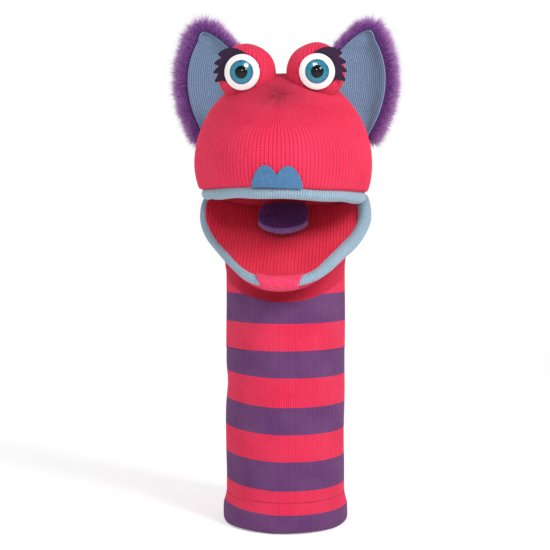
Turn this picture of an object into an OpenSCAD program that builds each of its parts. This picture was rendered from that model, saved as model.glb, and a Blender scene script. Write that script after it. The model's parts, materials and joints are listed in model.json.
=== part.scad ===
// Knitted hand puppet: striped arm sleeve, wrist, head with a moving lower jaw,
// padded tongue, two fur-backed ears and safety eyes on stuffed mounds.
// The origin is the centre of the arm opening, +Z is up and the face looks along -Y.

/* [Sleeve] */
// Height of the straight striped sleeve
sleeve_h = 135; // [108:1:170]
// Inside radius of the sleeve, where the arm goes
arm_r = 44.2; // [36:0.2:54]
// Thickness of the knitted cloth
knit_t = 1.6; // [1.2:0.1:2.2]
// Height of the turned-in hem
hem_h = 17; // [10:1:26]
// How far the doubled hem stands out past the sleeve
hem_bulge = 2.6; // [1.8:0.1:4]

/* [Wrist] */
// Rise of the wrist cloth at the front, under the chin
wrist_front_h = 37; // [30:1:45]
// Rise of the wrist cloth at the back, under the nape
wrist_back_h = 87; // [76:1:100]
// Height of the mouth hinge above the sleeve
hinge_rise = 112; // [104:1:130]

/* [Head] */
// Half of the head's width
head_a = 66; // [52:1:80]
// Half of the head's depth, nose to nape
head_b = 74; // [62:1:86]
// Height of the head above the lip
head_h = 90; // [76:1:106]
// Height above the lip at which the head is widest
cheek_h = 22; // [14:1:30]
// How far in front of the sleeve's axis the head is centred
head_forward = 27; // [20:1:36]

/* [Mouth] */
// Half of the upper lip's width, at the middle of its binding
lip_a = 56.5; // [46:0.5:60]
// Half of the lip's depth, at the middle of its binding
lip_b = 65; // [54:0.5:70]
// How far the lower lip stands outside the upper one
lip_step = 2; // [0:0.5:3]
// Radius of the ribbed lip binding
binding_r = 4.4; // [3.4:0.1:5]
// Angle that the mouth is open by
mouth_angle = 38; // [20:1:50]
// How much the lower lip narrows towards its front, as a share of its width
jaw_taper = 0.17; // [0:0.01:0.2]
// Depth of the lower jaw under its lip
jaw_d = 30; // [24:1:36]
// Space left between the two palates when the mouth is shut
bite_gap = 6; // [5.4:0.1:9]
// Thickness of the palate boards
board_t = 2; // [1.2:0.1:3]

/* [Tongue] */
// Length of the tongue from its seam
tongue_l = 38; // [24:1:50]
// Width of the tongue
tongue_w = 38; // [24:1:48]
// Thickness of the tongue
tongue_t = 4.8; // [3:0.1:5]
// Angle that the tongue springs up by when the mouth is open
tongue_lift = 10; // [0:1:14]

/* [Eyes] */
// Radius of the stuffed mound under each eye
mound_r = 21; // [18:0.5:23]
// Distance of each mound from the middle of the head
mound_x = 25; // [24:0.5:32]
// How far in front of the head's centre the mounds stand
mound_forward = 27; // [16:1:34]
// Radius of the white of the eye
eye_r = 12.7; // [10:0.1:14]
// Radius of the iris
iris_r = 8.5; // [7:0.1:9]
// Radius of the pupil
pupil_r = 4.4; // [3:0.1:5]
// Radius of the eye's post
post_r = 2; // [1.5:0.1:2.4]

/* [Ears] */
// Height of the ear tips above the lip
ear_tip_h = 138; // [124:1:150]
// Distance of the ear tips from the middle
ear_tip_x = 77; // [70:1:88]
// Furthest reach of each ear from the middle
ear_reach = 90; // [84:1:104]
// Width of the fur border round the knitted front
fur_rim = 10.5; // [4:0.5:12]

/* [Hidden] */
$fn = 48;
SIDES = 36;
gap = 0.3;
sleeve_r = arm_r + knit_t;
hinge_y = -5;
hinge_z = sleeve_h + hinge_rise;
head_y = -head_forward;
// Lip bindings lie this far above and below the hinge when the mouth is shut.
lip_rise = bite_gap / 2 + 0.2 + board_t;
lip_z = hinge_z + lip_rise;
jaw_lip_z = hinge_z - lip_rise;
jaw_a = lip_a + lip_step;
jaw_b = lip_b + lip_step;
lining_t = 1.2;
seam_gap = binding_r + 0.2;
// Half angle, round the mouth's oval, between the nose and the mouth corner.
corner_t = 180 - acos((hinge_y - head_y) / jaw_b);
brow_drop = 58;
upper_h = head_h - cheek_h;
mound_y = head_y - mound_forward;
mound_z = lip_z + head_h - 3.3;
eye_turn = 4.5;
eye_tilt = 6;
// Distances along the eye's axis, from the mound's centre.
flat_d = 16.2;
lash_t = 1;
white_d = flat_d + lash_t + 0.2;
tongue_backing_t = 1.3;
ear_y = 4;
ear_low_h = 47;
ear_low_x = 71;
ear_top_h = 113;
ear_top_x = 35;
ear_root_h = 80;
// Room between the ear's root and the head, taken up by the seam as the ear folds.
ear_seam_gap = 4.7;

// A point of an oval round the head's middle line; t is 0 at the nose and 90 at +X.
function oval(a, b, t) = [a * sin(t), head_y - b * cos(t)];
// The same oval drawn in at the front quarters by a share of its width.
function drawn_oval(a, b, t, taper) = let (
    p = oval(a, b, t),
    quarter = pow(max(0, sin(2 * abs(t))), 1.4)
) [p[0] * (1 - taper * quarter), p[1]];
// An angle from 0 to 360 as one from -180 to 180.
function signed_turn(t) = t > 180 ? t - 360 : t;
function mix(p, q, v) = p * (1 - v) + q * v;
function smooth(v) = v * v * (3 - 2 * v);
// A quadratic curve from p to q, pulled towards c.
function bow(p, c, q, n) = [
    for (i = [0:n - 1]) let (v = i / n) mix(mix(p, c, v), mix(c, q, v), v)
];
// Turns a point of the shut jaw down about the hinge.
function opened_point(p) = let (
    y = p[1] - hinge_y,
    z = p[2] - hinge_z
) [
    p[0],
    hinge_y + y * cos(mouth_angle) - z * sin(mouth_angle),
    hinge_z + y * sin(mouth_angle) + z * cos(mouth_angle)
];

// Share of the head's full width at a height above the lip.
function dome_share(h, grow) = h < cheek_h
    ? sqrt(1 - pow((cheek_h - h) / brow_drop, 2))
    : sqrt(max(0, 1 - pow((h - cheek_h) / (upper_h + grow), 2)));
function dome_ring(grow, h, k) = [
    for (i = [0:SIDES - 1]) let (
        t = 360 * (i + 0.5) / SIDES,
        p = oval((head_a + grow) * k, (head_b + grow) * k, t)
    ) [p[0], p[1], lip_z + h]
];
function dome_rows(grow, low) = concat(
    [for (j = [0:2]) let (h = mix(low, cheek_h, j / 3)) dome_ring(grow, h, dome_share(h, grow))],
    [for (p = [0:9:81]) dome_ring(grow, cheek_h + (upper_h + grow) * sin(p), cos(p))],
    [dome_ring(grow, cheek_h + (upper_h + grow) * sin(88), cos(88))]
);

// The slanted edge where the wrist cloth meets the head, and the one halfway up the wrist.
function wrist_edge(r, t, share) = let (
    y = -r * cos(t),
    back_share = (1 + y / sleeve_r) / 2
) [r * sin(t), y, sleeve_h + share * mix(wrist_front_h, wrist_back_h, back_share)];
function wrist_ring(r, share, lift) = [
    for (i = [0:SIDES - 1]) wrist_edge(r, 360 * (i + 0.5) / SIDES, share) + [0, 0, lift]
];

// Depth of the jaw cover's lower edge; s runs from -1 to 1 between the mouth corners.
function jaw_edge_depth(s) = seam_gap + 1.5 + 18 * (1 - pow(abs(s), 3));
function jaw_point(inset, s, depth) = let (
    k = sqrt(1 - pow(depth / jaw_d, 2)),
    p = drawn_oval((jaw_a - inset) * k, (jaw_b - inset) * k, s * corner_t, jaw_taper)
) [p[0], p[1], jaw_lip_z - depth];

// A solid through a list of equal closed rings, closed at both ends by rungs.
module loft(rows) {
    n = len(rows[0]);
    m = len(rows);
    top = (m - 1) * n;
    low_cap = [
        for (i = [0:n / 2 - 2]) each [[i, i + 1, n - 2 - i], [i, n - 2 - i, n - 1 - i]]
    ];
    high_cap = [
        for (i = [0:n / 2 - 2]) each [
            [top + i, top + n - 2 - i, top + i + 1],
            [top + i, top + n - 1 - i, top + n - 2 - i]
        ]
    ];
    walls = [
        for (j = [0:m - 2], i = [0:n - 1]) let (
            a = j * n + i,
            b = a + n,
            c = j * n + (i + 1) % n,
            d = c + n
        ) each [[a, b, d], [a, d, c]]
    ];
    polyhedron(points = [for (row = rows) each row], faces = concat(low_cap, walls, high_cap));
}

// A cloth panel: each row is its outer edge one way and its inner edge back.
function panel_row(outer, inner) = concat(
    outer,
    [for (i = [len(inner) - 1:-1:0]) inner[i]]
);

module dome(grow, low) {
    loft(dome_rows(grow, low));
}

module opened() {
    translate([0, hinge_y, hinge_z]) rotate([mouth_angle, 0, 0])
        translate([0, -hinge_y, -hinge_z]) children();
}

// A tube of radius r along the lip's oval, from -span to span.
module lip_tube(a, b, z, r, span, taper) {
    steps = 36;
    rows = [
        for (j = [0:steps]) let (
            t = span * (1 - 2 * j / steps),
            p = drawn_oval(a, b, t, taper),
            along = drawn_oval(a, b, t + 1, taper) - drawn_oval(a, b, t - 1, taper),
            out = [along[1], -along[0]] / norm(along)
        ) [
            for (i = [0:9]) let (w = 36 * i + 18)
                [p[0] + out[0] * r * cos(w), p[1] + out[1] * r * cos(w), z + r * sin(w)]
        ]
    ];
    loft(rows);
}

// The flat half oval that fills the mouth inside its binding.
module palate(a, b, low, t, taper) {
    back = hinge_y - 2;
    // Drawn-in sides need a little more room from the binding.
    side_gap = seam_gap + 8 * taper;
    translate([0, 0, low]) linear_extrude(t) intersection() {
        polygon([
            for (i = [-23:24]) drawn_oval(a - side_gap, b - seam_gap, 7.5 * i, taper)
        ]);
        translate([-a, head_y - b]) square([2 * a, back - head_y + b]);
    }
}

module striped_sleeve() {
    step_z = hem_h + 1.9;
    hem_r = sleeve_r + hem_bulge;
    color("mediumvioletred") rotate_extrude() polygon([
        [sleeve_r + gap, 0], [hem_r - 1, 0], [hem_r, 1.5], [hem_r, hem_h - 4],
        [sleeve_r, hem_h + 6], [sleeve_r, sleeve_h], [arm_r, sleeve_h], [arm_r, step_z],
        [sleeve_r + gap, step_z]
    ]);
}

module hem_cuff() {
    color("rebeccapurple") difference() {
        cylinder(h = hem_h, r = sleeve_r);
        translate([0, 0, -1]) cylinder(h = hem_h + 2, r = arm_r);
    }
}

module hem_thread() {
    thread_r = 0.5;
    color("indigo") rotate_extrude()
        translate([arm_r + knit_t / 2, hem_h + 1]) circle(r = thread_r, $fn = 16);
}

module wrist_band(from_share, to_share) {
    difference() {
        loft([
            wrist_ring(sleeve_r, from_share, gap),
            wrist_ring(sleeve_r, to_share, 0)
        ]);
        loft([
            wrist_ring(arm_r, from_share, gap - 1),
            wrist_ring(arm_r, to_share, 1)
        ]);
    }
}

module wrist_knit_lower() {
    color("hotpink") wrist_band(0, 0.5);
}

module wrist_knit_upper() {
    color("deeppink") wrist_band(0.5, 1);
}

module head_cover() {
    color("deeppink") difference() {
        dome(0, seam_gap);
        dome(-knit_t, seam_gap - 1);
        for (side = [-1, 1]) eye_room(side);
    }
}

// Cloth from the wrist's back edge up to the back of the head.
module nape_panel() {
    columns = 24;
    rise = 8;
    top_h = seam_gap - gap;
    back_span = 180 - corner_t;
    function nape_point(inset, s, v) = let (
        low = wrist_edge(sleeve_r - inset, 180 + 90 * s, 1),
        k = dome_share(top_h, 0),
        top = oval((head_a - inset) * k, (head_b - inset) * k, 180 + back_span * s),
        out = mix([low[0], low[1]], top, smooth(v))
    ) [out[0], out[1], mix(low[2] + gap, lip_z + top_h, v)];
    // The front edges lean back as they rise, clear of the lower lip's ends.
    function nape_arc(inset, v) = let (span = mix(0.97, 0.89, smooth(v))) [
        for (i = [0:columns]) nape_point(inset, (2 * i / columns - 1) * span, v)
    ];
    color("crimson") loft([
        for (j = [0:rise]) panel_row(nape_arc(0, j / rise), nape_arc(knit_t, j / rise))
    ]);
}

module head_padding() {
    finger_w = 78;
    finger_h = 40;
    nose_room = 20;
    front = head_y - head_b + nose_room;
    color("ivory") difference() {
        intersection() {
            dome(-knit_t - gap, seam_gap);
            translate([-head_a, head_y - head_b, lip_z])
                cube([2 * head_a, head_b + head_forward, 2 * head_h]);
        }
        translate([-finger_w / 2, front, lip_z]) cube([finger_w, 2 * head_b, finger_h]);
        for (side = [-1, 1]) eye_room(side);
    }
}

module upper_palate_board() {
    color("burlywood") palate(lip_a, lip_b, lip_z - board_t / 2, board_t, 0);
}

module upper_mouth_lining() {
    top = lip_z - board_t / 2 - 0.1;
    color("firebrick") palate(lip_a, lip_b, top - lining_t, lining_t, 0);
}

module upper_lip_binding() {
    color("lightsteelblue") lip_tube(lip_a, lip_b, lip_z, binding_r, corner_t - 1, 0);
}

// Heart-topped felt lip, laid on the front of the head.
module upper_lip_felt() {
    felt_t = 1.2;
    half_w = 19;
    lobe_r = 8.6;
    felt_h = 17;
    color("steelblue") intersection() {
        difference() {
            dome(felt_t + 0.1, seam_gap);
            dome(0.1, seam_gap - 1);
        }
        translate([0, head_y, lip_z]) rotate([90, 0, 0]) linear_extrude(head_b + 9) {
            polygon([[-half_w, 0], [half_w, 0], [half_w - 4, 7], [0, 12], [4 - half_w, 7]]);
            for (side = [-1, 1]) translate([side * lobe_r, felt_h - lobe_r]) circle(r = lobe_r);
        }
    }
}

// An elastic loop standing on a palate board, open along Y.
module strap_loop(w, h, l) {
    strap_t = 1.2;
    rotate([90, 0, 0]) linear_extrude(l, center = true) difference() {
        hull() for (side = [-1, 1]) translate([side * (w / 2 - h / 2), 0]) circle(r = h / 2);
        hull() for (side = [-1, 1])
            translate([side * (w / 2 - h / 2), 0]) circle(r = h / 2 - strap_t);
    }
}

module finger_strap() {
    strap_w = 74;
    strap_h = 24;
    low = lip_z + board_t / 2 + 0.1;
    color("black") translate([0, head_y - 16, low + strap_h / 2]) strap_loop(strap_w, strap_h, 22);
}

// Puts children, which look along +Z, on an eye's axis, from the mound's centre.
module eye_place(side) {
    translate([side * mound_x, mound_y, mound_z])
        rotate([90 + eye_tilt, 0, side * eye_turn]) children();
}

// Room for an eye, its lashes' base and its post where they sink into the head.
module eye_room(side) {
    eye_place(side) {
        cylinder(h = 2 * flat_d, r = post_r + 1, center = true);
        translate([0, 0, flat_d]) cylinder(h = flat_d, r = eye_r + gap);
    }
}

module mound_ball(side, r, flat) {
    eye_place(side) intersection() {
        sphere(r = r, $fn = 40);
        translate([-r, -r, -r]) cube([2 * r, 2 * r, r + flat]);
    }
}

module eye_mound(side) {
    color("deeppink") difference() {
        mound_ball(side, mound_r, flat_d);
        mound_ball(side, mound_r - knit_t, flat_d - knit_t);
        dome(gap / 2, -1);
        eye_place(side) cylinder(h = mound_r, r = post_r + 0.1);
    }
}

module eye_stuffing(side) {
    washer_room = knit_t + 1.8;
    color("ivory") difference() {
        mound_ball(side, mound_r - knit_t - gap, flat_d - washer_room);
        dome(gap / 2, -1);
        eye_place(side) translate([0, 0, -mound_r]) cylinder(h = 2 * mound_r, r = post_r + 0.1);
    }
}

module eye_white(side) {
    rim = 1.6;
    crown = 3.6;
    cup_z = 2.6;
    post_l = 8;
    wall = [
        for (i = [0:8]) let (r = mix(iris_r + 0.1, eye_r, i / 8))
            [r, rim + crown * (1 - pow(r / eye_r, 2))]
    ];
    color("white") eye_place(side) translate([0, 0, white_d]) rotate_extrude() polygon(concat(
        [[0, -post_l], [post_r, -post_l], [post_r, 0], [eye_r, 0]],
        [for (i = [8:-1:0]) wall[i]],
        [[iris_r + 0.1, cup_z], [0, cup_z]]
    ));
}

module eye_iris(side) {
    cup_z = 2.7;
    iris_h = 1.6;
    color("darkcyan") eye_place(side) translate([0, 0, white_d + cup_z]) difference() {
        cylinder(h = iris_h, r = iris_r);
        translate([0, 0, iris_h / 2]) cylinder(h = iris_h, r = pupil_r + 0.1);
    }
}

module eye_pupil(side) {
    pupil_z = 3.6;
    color("black") eye_place(side) translate([0, 0, white_d + pupil_z]) rotate_extrude() polygon([
        [0, 0], [pupil_r, 0], [pupil_r, 1], [pupil_r * 0.6, 1.5], [0, 1.7]
    ]);
}

module eye_washer(side) {
    washer_r = 8;
    washer_t = 1.2;
    color("gainsboro") eye_place(side)
        translate([0, 0, flat_d - knit_t - washer_t - 0.2]) difference() {
            cylinder(h = washer_t, r = washer_r);
            translate([0, 0, -1]) cylinder(h = washer_t + 2, r = post_r + 0.05);
        }
}

// Felt lashes: a round base under the eye with pointed spikes up and outwards.
module lash(side) {
    spikes = 5;
    base_r = eye_r - 0.3;
    tip_r = eye_r + 9;
    first = -19;
    pitch = 19;
    color("indigo") eye_place(side) translate([0, 0, flat_d + 0.1]) linear_extrude(lash_t) difference() {
        union() {
            circle(r = base_r);
            for (i = [0:spikes - 1]) let (w = 90 - side * (90 - first - pitch * i))
                rotate(w) polygon([[base_r - 2, -4.2], [tip_r, 0], [base_r - 2, 4.2]]);
        }
        circle(r = post_r + 0.1);
    }
}

module jaw_cover() {
    columns = 30;
    rise = 5;
    function jaw_arc(inset, v) = [
        for (i = [0:columns]) let (
            s = (2 * i / columns - 1) * 0.97,
            depth = mix(jaw_edge_depth(s), seam_gap, v)
        ) jaw_point(inset, s, depth)
    ];
    color("deeppink") opened() loft([
        for (j = [0:rise]) panel_row(jaw_arc(-0.8, j / rise), jaw_arc(knit_t - 0.8, j / rise))
    ]);
}

module jaw_padding() {
    inset = knit_t + 1;
    depth = 16;
    reach = 20;
    low = jaw_lip_z - depth;
    rings = [
        for (j = [0:4]) let (d = mix(depth, board_t + 1, j / 4)) [
            for (i = [0:31]) let (t = 360 * (i + 0.5) / 32)
                let (
                    k = sqrt(1 - pow(d / jaw_d, 2)),
                    p = drawn_oval((jaw_a - inset) * k, (jaw_b - inset) * k, signed_turn(t), jaw_taper)
                )
                [p[0] * (d < seam_gap ? 0.9 : 1), p[1] + (d < seam_gap ? binding_r : 0), jaw_lip_z - d]
        ]
    ];
    color("ivory") opened() intersection() {
        loft(rings);
        translate([-head_a, head_y - jaw_b, low - 1]) cube([2 * head_a, reach, depth]);
    }
}

module lower_palate_board() {
    color("burlywood") opened()
        palate(jaw_a, jaw_b, jaw_lip_z - board_t / 2, board_t, jaw_taper);
}

module lower_mouth_lining() {
    color("firebrick") opened()
        palate(jaw_a, jaw_b, jaw_lip_z + board_t / 2 + 0.1, lining_t, jaw_taper);
}

module lower_lip_binding() {
    color("lightsteelblue") opened()
        lip_tube(jaw_a, jaw_b, jaw_lip_z, binding_r, corner_t - 1, jaw_taper);
}

// Felt patch wrapped over the front of the lower binding.
module lower_lip_felt() {
    felt_t = 1.1;
    span = 15;
    color("palevioletred") opened() difference() {
        lip_tube(jaw_a, jaw_b, jaw_lip_z, binding_r + 0.1 + felt_t, span, jaw_taper);
        lip_tube(jaw_a, jaw_b, jaw_lip_z, binding_r + 0.1, span + 1, jaw_taper);
        translate([-head_a, head_y - jaw_b + binding_r, jaw_lip_z - 2 * binding_r])
            cube([2 * head_a, jaw_b, 4 * binding_r]);
        translate([-head_a, head_y - 2 * jaw_b, jaw_lip_z - 3 * binding_r])
            cube([2 * head_a, 2 * jaw_b, 3 * binding_r - seam_gap + gap]);
    }
}

module thumb_strap() {
    strap_w = 34;
    strap_h = 18;
    top = jaw_lip_z - board_t / 2 - 0.1;
    color("black") opened() translate([0, head_y - 8, top - strap_h / 2])
        strap_loop(strap_w, strap_h, 20);
}

// Cloth from the wrist's front edge up to the lower edge of the jaw cover.
module throat_knit() {
    columns = 30;
    rise = 6;
    function throat_point(inset, s, v) = let (
        low = wrist_edge(sleeve_r - inset, 90 * s, 1) + [0, 0, gap],
        top = opened_point(jaw_point(inset, s, jaw_edge_depth(s) + 0.8))
    ) mix(low, top, v);
    function throat_arc(inset, v) = [
        for (i = [0:columns]) throat_point(inset, (2 * i / columns - 1) * 0.96, v)
    ];
    color("hotpink") loft([
        for (j = [0:rise]) panel_row(throat_arc(0, j / rise), throat_arc(knit_t, j / rise))
    ]);
}

// The folded strip that joins the backs of the two palates.
module mouth_hinge_tape() {
    tape_t = 1.2;
    tape_w = 92;
    color("firebrick") translate([-tape_w / 2, hinge_y + 0.4, hinge_z - bite_gap / 2 + gap])
        cube([tape_w, tape_t, bite_gap - gap]);
}

// A round-ended tab on the lower palate, raised about its seam.
module tongue_tab(inset, low, t) {
    r = tongue_w / 2;
    root_y = hinge_y - 5;
    seam_z = jaw_lip_z + board_t / 2 + lining_t + 0.1 + gap;
    opened() translate([0, root_y, seam_z]) rotate([-tongue_lift, 0, 0])
        translate([0, 0, low]) linear_extrude(t) {
            translate([0, r - tongue_l]) circle(r = r - inset);
            translate([inset - r, r - tongue_l]) square([2 * (r - inset), tongue_l - r - inset]);
        }
}

module tongue_plush() {
    color("darkslateblue") tongue_tab(0, tongue_backing_t, tongue_t - tongue_backing_t);
}

module tongue_backing() {
    color("mediumpurple") tongue_tab(1, 0, tongue_backing_t - 0.1);
}

// Reach of the head's surface at a height above the lip, in the plane of the ears' fronts.
function head_edge_x(h) = let (
    up = (h - cheek_h) / upper_h,
    back = (ear_y - head_y) / head_b
) head_a * sqrt(max(0, 1 - up * up - back * back));

// The ear's outline, seen from the front, for the +X ear. Its root follows the head.
function ear_outline(inset) = let (
    low = [ear_low_x, ear_low_h + inset],
    tip = [ear_tip_x - inset * 0.4, ear_tip_h - inset * 1.4],
    top = [ear_top_x, ear_top_h - inset],
    outer = [2 * (ear_reach - inset) - (low[0] + tip[0]) / 2, (low[1] + tip[1]) / 2],
    brow = [(tip[0] + top[0]) / 2 + 2, (tip[1] + top[1]) / 2 + 10 - inset],
    root_h = ear_root_h - inset
) concat(
    bow(low, outer, tip, 12),
    bow(tip, brow, top, 8),
    [top],
    [
        for (j = [0:6]) let (h = mix(root_h, ear_low_h + inset / 2, j / 6))
            [head_edge_x(h) + ear_seam_gap, h]
    ]
);

module ear_layer(side, inset, front, t) {
    mirror([side < 0 ? 1 : 0, 0, 0]) translate([0, front + t, lip_z]) rotate([90, 0, 0])
        linear_extrude(t) polygon(ear_outline(inset));
}

module ear_knit(side) {
    color("lightsteelblue") ear_layer(side, fur_rim, ear_y, knit_t);
}

module ear_wadding(side) {
    color("ivory") ear_layer(side, fur_rim + 1, ear_y + knit_t + 0.1, 3);
}

module ear_fur(side) {
    color("rebeccapurple") ear_layer(side, 0, ear_y + knit_t + 3.2, 5);
}

striped_sleeve();
hem_cuff();
hem_thread();
wrist_knit_lower();
wrist_knit_upper();
head_cover();
nape_panel();
head_padding();
upper_palate_board();
upper_mouth_lining();
upper_lip_binding();
upper_lip_felt();
finger_strap();
eye_mound(-1);  // eye_mound_left
eye_mound(1);  // eye_mound_right
eye_stuffing(-1);  // eye_stuffing_left
eye_stuffing(1);  // eye_stuffing_right
eye_white(-1);  // eye_white_left
eye_white(1);  // eye_white_right
eye_iris(-1);  // eye_iris_left
eye_iris(1);  // eye_iris_right
eye_pupil(-1);  // eye_pupil_left
eye_pupil(1);  // eye_pupil_right
eye_washer(-1);  // eye_washer_left
eye_washer(1);  // eye_washer_right
lash(-1);  // lash_left
lash(1);  // lash_right
jaw_cover();
jaw_padding();
lower_palate_board();
lower_mouth_lining();
lower_lip_binding();
lower_lip_felt();
thumb_strap();
throat_knit();
mouth_hinge_tape();
tongue_plush();
tongue_backing();
ear_knit(-1);  // ear_knit_left
ear_knit(1);  // ear_knit_right
ear_wadding(-1);  // ear_wadding_left
ear_wadding(1);  // ear_wadding_right
ear_fur(-1);  // ear_fur_left
ear_fur(1);  // ear_fur_right
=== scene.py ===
"""Knitted hand puppet: the looks of every piece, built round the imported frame, in metres."""

import bmesh
import bpy
import json
import math
import numpy as np
from mathutils import Matrix, Vector


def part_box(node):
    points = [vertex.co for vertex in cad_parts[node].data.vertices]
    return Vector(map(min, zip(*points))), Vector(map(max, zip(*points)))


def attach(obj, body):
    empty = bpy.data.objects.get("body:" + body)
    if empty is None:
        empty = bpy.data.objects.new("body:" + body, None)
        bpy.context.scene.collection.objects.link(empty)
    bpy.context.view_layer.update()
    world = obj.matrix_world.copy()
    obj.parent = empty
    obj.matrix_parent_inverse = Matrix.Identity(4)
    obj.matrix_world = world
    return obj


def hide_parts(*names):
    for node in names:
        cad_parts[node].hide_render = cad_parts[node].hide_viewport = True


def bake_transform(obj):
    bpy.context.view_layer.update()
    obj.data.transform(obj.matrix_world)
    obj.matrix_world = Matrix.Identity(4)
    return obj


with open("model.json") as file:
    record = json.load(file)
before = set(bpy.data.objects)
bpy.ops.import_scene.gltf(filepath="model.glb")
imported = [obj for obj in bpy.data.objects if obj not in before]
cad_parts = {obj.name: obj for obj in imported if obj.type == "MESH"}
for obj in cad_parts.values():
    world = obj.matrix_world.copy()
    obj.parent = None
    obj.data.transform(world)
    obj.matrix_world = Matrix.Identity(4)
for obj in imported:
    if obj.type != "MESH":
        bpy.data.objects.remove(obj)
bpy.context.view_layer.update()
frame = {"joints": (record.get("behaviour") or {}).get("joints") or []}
MM = 0.001
TURN = 2 * math.pi


# ---------------------------------------------------------------- sizes read from the frame

def joint_place(name):
    """Where a joint's axis passes, in the frame."""
    found = [joint for joint in frame["joints"] if joint["name"] == name]
    return np.array(found[0]["pos_m"])


def half_width(node):
    low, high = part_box(node)
    return (high[0] - low[0]) / 2


sleeve_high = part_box("striped_sleeve")[1]
cuff_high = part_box("hem_cuff")[1]
sleeve_top = sleeve_high[2]
hem_radius = sleeve_high[0]
sleeve_radius = cuff_high[0]
hem_height = cuff_high[2]
wrist_low, wrist_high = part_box("wrist_knit_upper")
front_rise = 2 * (wrist_low[2] - sleeve_top)
back_rise = wrist_high[2] - sleeve_top

head_low, head_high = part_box("head_cover")
head_y = (head_low[1] + head_high[1]) / 2
head_half_wide = half_width("head_cover") + 0.2 * MM
head_half_deep = (head_high[1] - head_low[1]) / 2 + 0.2 * MM
lip_low, lip_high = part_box("upper_lip_binding")
lip_z = (lip_low[2] + lip_high[2]) / 2
binding_radius = (lip_high[2] - lip_low[2]) / 2
lip_half_wide = half_width("upper_lip_binding") - binding_radius
lip_half_deep = head_y - lip_low[1] - binding_radius
jaw_half_wide = half_width("lower_lip_binding") - binding_radius
jaw_half_deep = lip_half_deep + jaw_half_wide - lip_half_wide
hinge = joint_place("jaw_open")
jaw_lip_z = 2 * hinge[2] - lip_z
mouth_angle = math.radians(38)
corner_turn = math.pi - math.acos((hinge[1] - head_y) / jaw_half_deep)

CLOTH = 1.6 * MM
CHEEK_RISE = 22 * MM
BROW_DROP = 58 * MM
BINDING_RISE = binding_radius + 0.2 * MM
crown_rise = head_high[2] - lip_z - CHEEK_RISE
GATHER = np.array([0.0, -0.737, 0.676])
JAW_TAPER = 0.17
HEM_BAND = 15 * MM
BAND_START = 11.6 * MM
BAND = 20.8 * MM

SLEEVE_WALES = 172
HEAD_WALES = 142
SLEEVE_COURSE = 1.45 * MM
HEAD_COURSE = 2.1 * MM


# ---------------------------------------------------------------- shader parts

def srgb(red, green, blue):
    """A colour given in the usual 0 to 255 steps, as the shader wants it."""
    def linear(value):
        value /= 255
        return value / 12.92 if value <= 0.04045 else ((value + 0.055) / 1.055) ** 2.4
    return (linear(red), linear(green), linear(blue), 1.0)


class Recipe:
    """A node tree being filled in, with short calls for the usual nodes."""

    def __init__(self, tree):
        self.tree = tree

    def node(self, kind, **settings):
        made = self.tree.nodes.new(kind)
        for name, value in settings.items():
            setattr(made, name, value)
        return made

    def feed(self, socket, value):
        if isinstance(value, bpy.types.NodeSocket):
            self.tree.links.new(value, socket)
        else:
            socket.default_value = value

    def sum(self, operation, first, second=None, third=None):
        made = self.node("ShaderNodeMath", operation=operation)
        for slot, value in enumerate((first, second, third)):
            if value is not None:
                self.feed(made.inputs[slot], value)
        return made.outputs[0]

    def blend(self, share, first, second):
        made = self.node("ShaderNodeMix", data_type="RGBA")
        self.feed(made.inputs[0], share)
        self.feed(made.inputs[6], first)
        self.feed(made.inputs[7], second)
        return made.outputs[2]

    def ramp(self, value, *stops):
        made = self.node("ShaderNodeMapRange")
        self.feed(made.inputs[0], value)
        for slot, number in enumerate(stops):
            made.inputs[slot + 1].default_value = number
        return made.outputs[0]

    def noise(self, vector, scale, detail=2.0, rough=0.5):
        made = self.node("ShaderNodeTexNoise")
        self.feed(made.inputs["Vector"], vector)
        made.inputs["Scale"].default_value = scale
        made.inputs["Detail"].default_value = detail
        made.inputs["Roughness"].default_value = rough
        return made.outputs[0]

    def group(self, name, **inputs):
        made = self.node("ShaderNodeGroup", node_tree=bpy.data.node_groups[name])
        for label, value in inputs.items():
            self.feed(made.inputs[label.replace("_", " ")], value)
        return made.outputs

    def place(self):
        return self.node("ShaderNodeTexCoord").outputs["Object"]

    def cloth_map(self, name):
        return self.node("ShaderNodeUVMap", uv_map=name).outputs[0]

    def bump(self, height, distance):
        made = self.node("ShaderNodeBump")
        made.inputs["Strength"].default_value = 1.0
        made.inputs["Distance"].default_value = distance
        self.feed(made.inputs["Height"], height)
        return made.outputs[0]


def new_group(name, inputs, outputs):
    """A shared effect. Inputs are (label, kind, default), outputs are (label, kind)."""
    tree = bpy.data.node_groups.new(name, "ShaderNodeTree")
    for label, kind, default in inputs:
        socket = tree.interface.new_socket(label, in_out="INPUT", socket_type=kind)
        if default is not None:
            socket.default_value = default
    for label, kind in outputs:
        tree.interface.new_socket(label, in_out="OUTPUT", socket_type=kind)
    recipe = Recipe(tree)
    start = recipe.node("NodeGroupInput")
    end = recipe.node("NodeGroupOutput")
    return recipe, start.outputs, end.inputs


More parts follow.
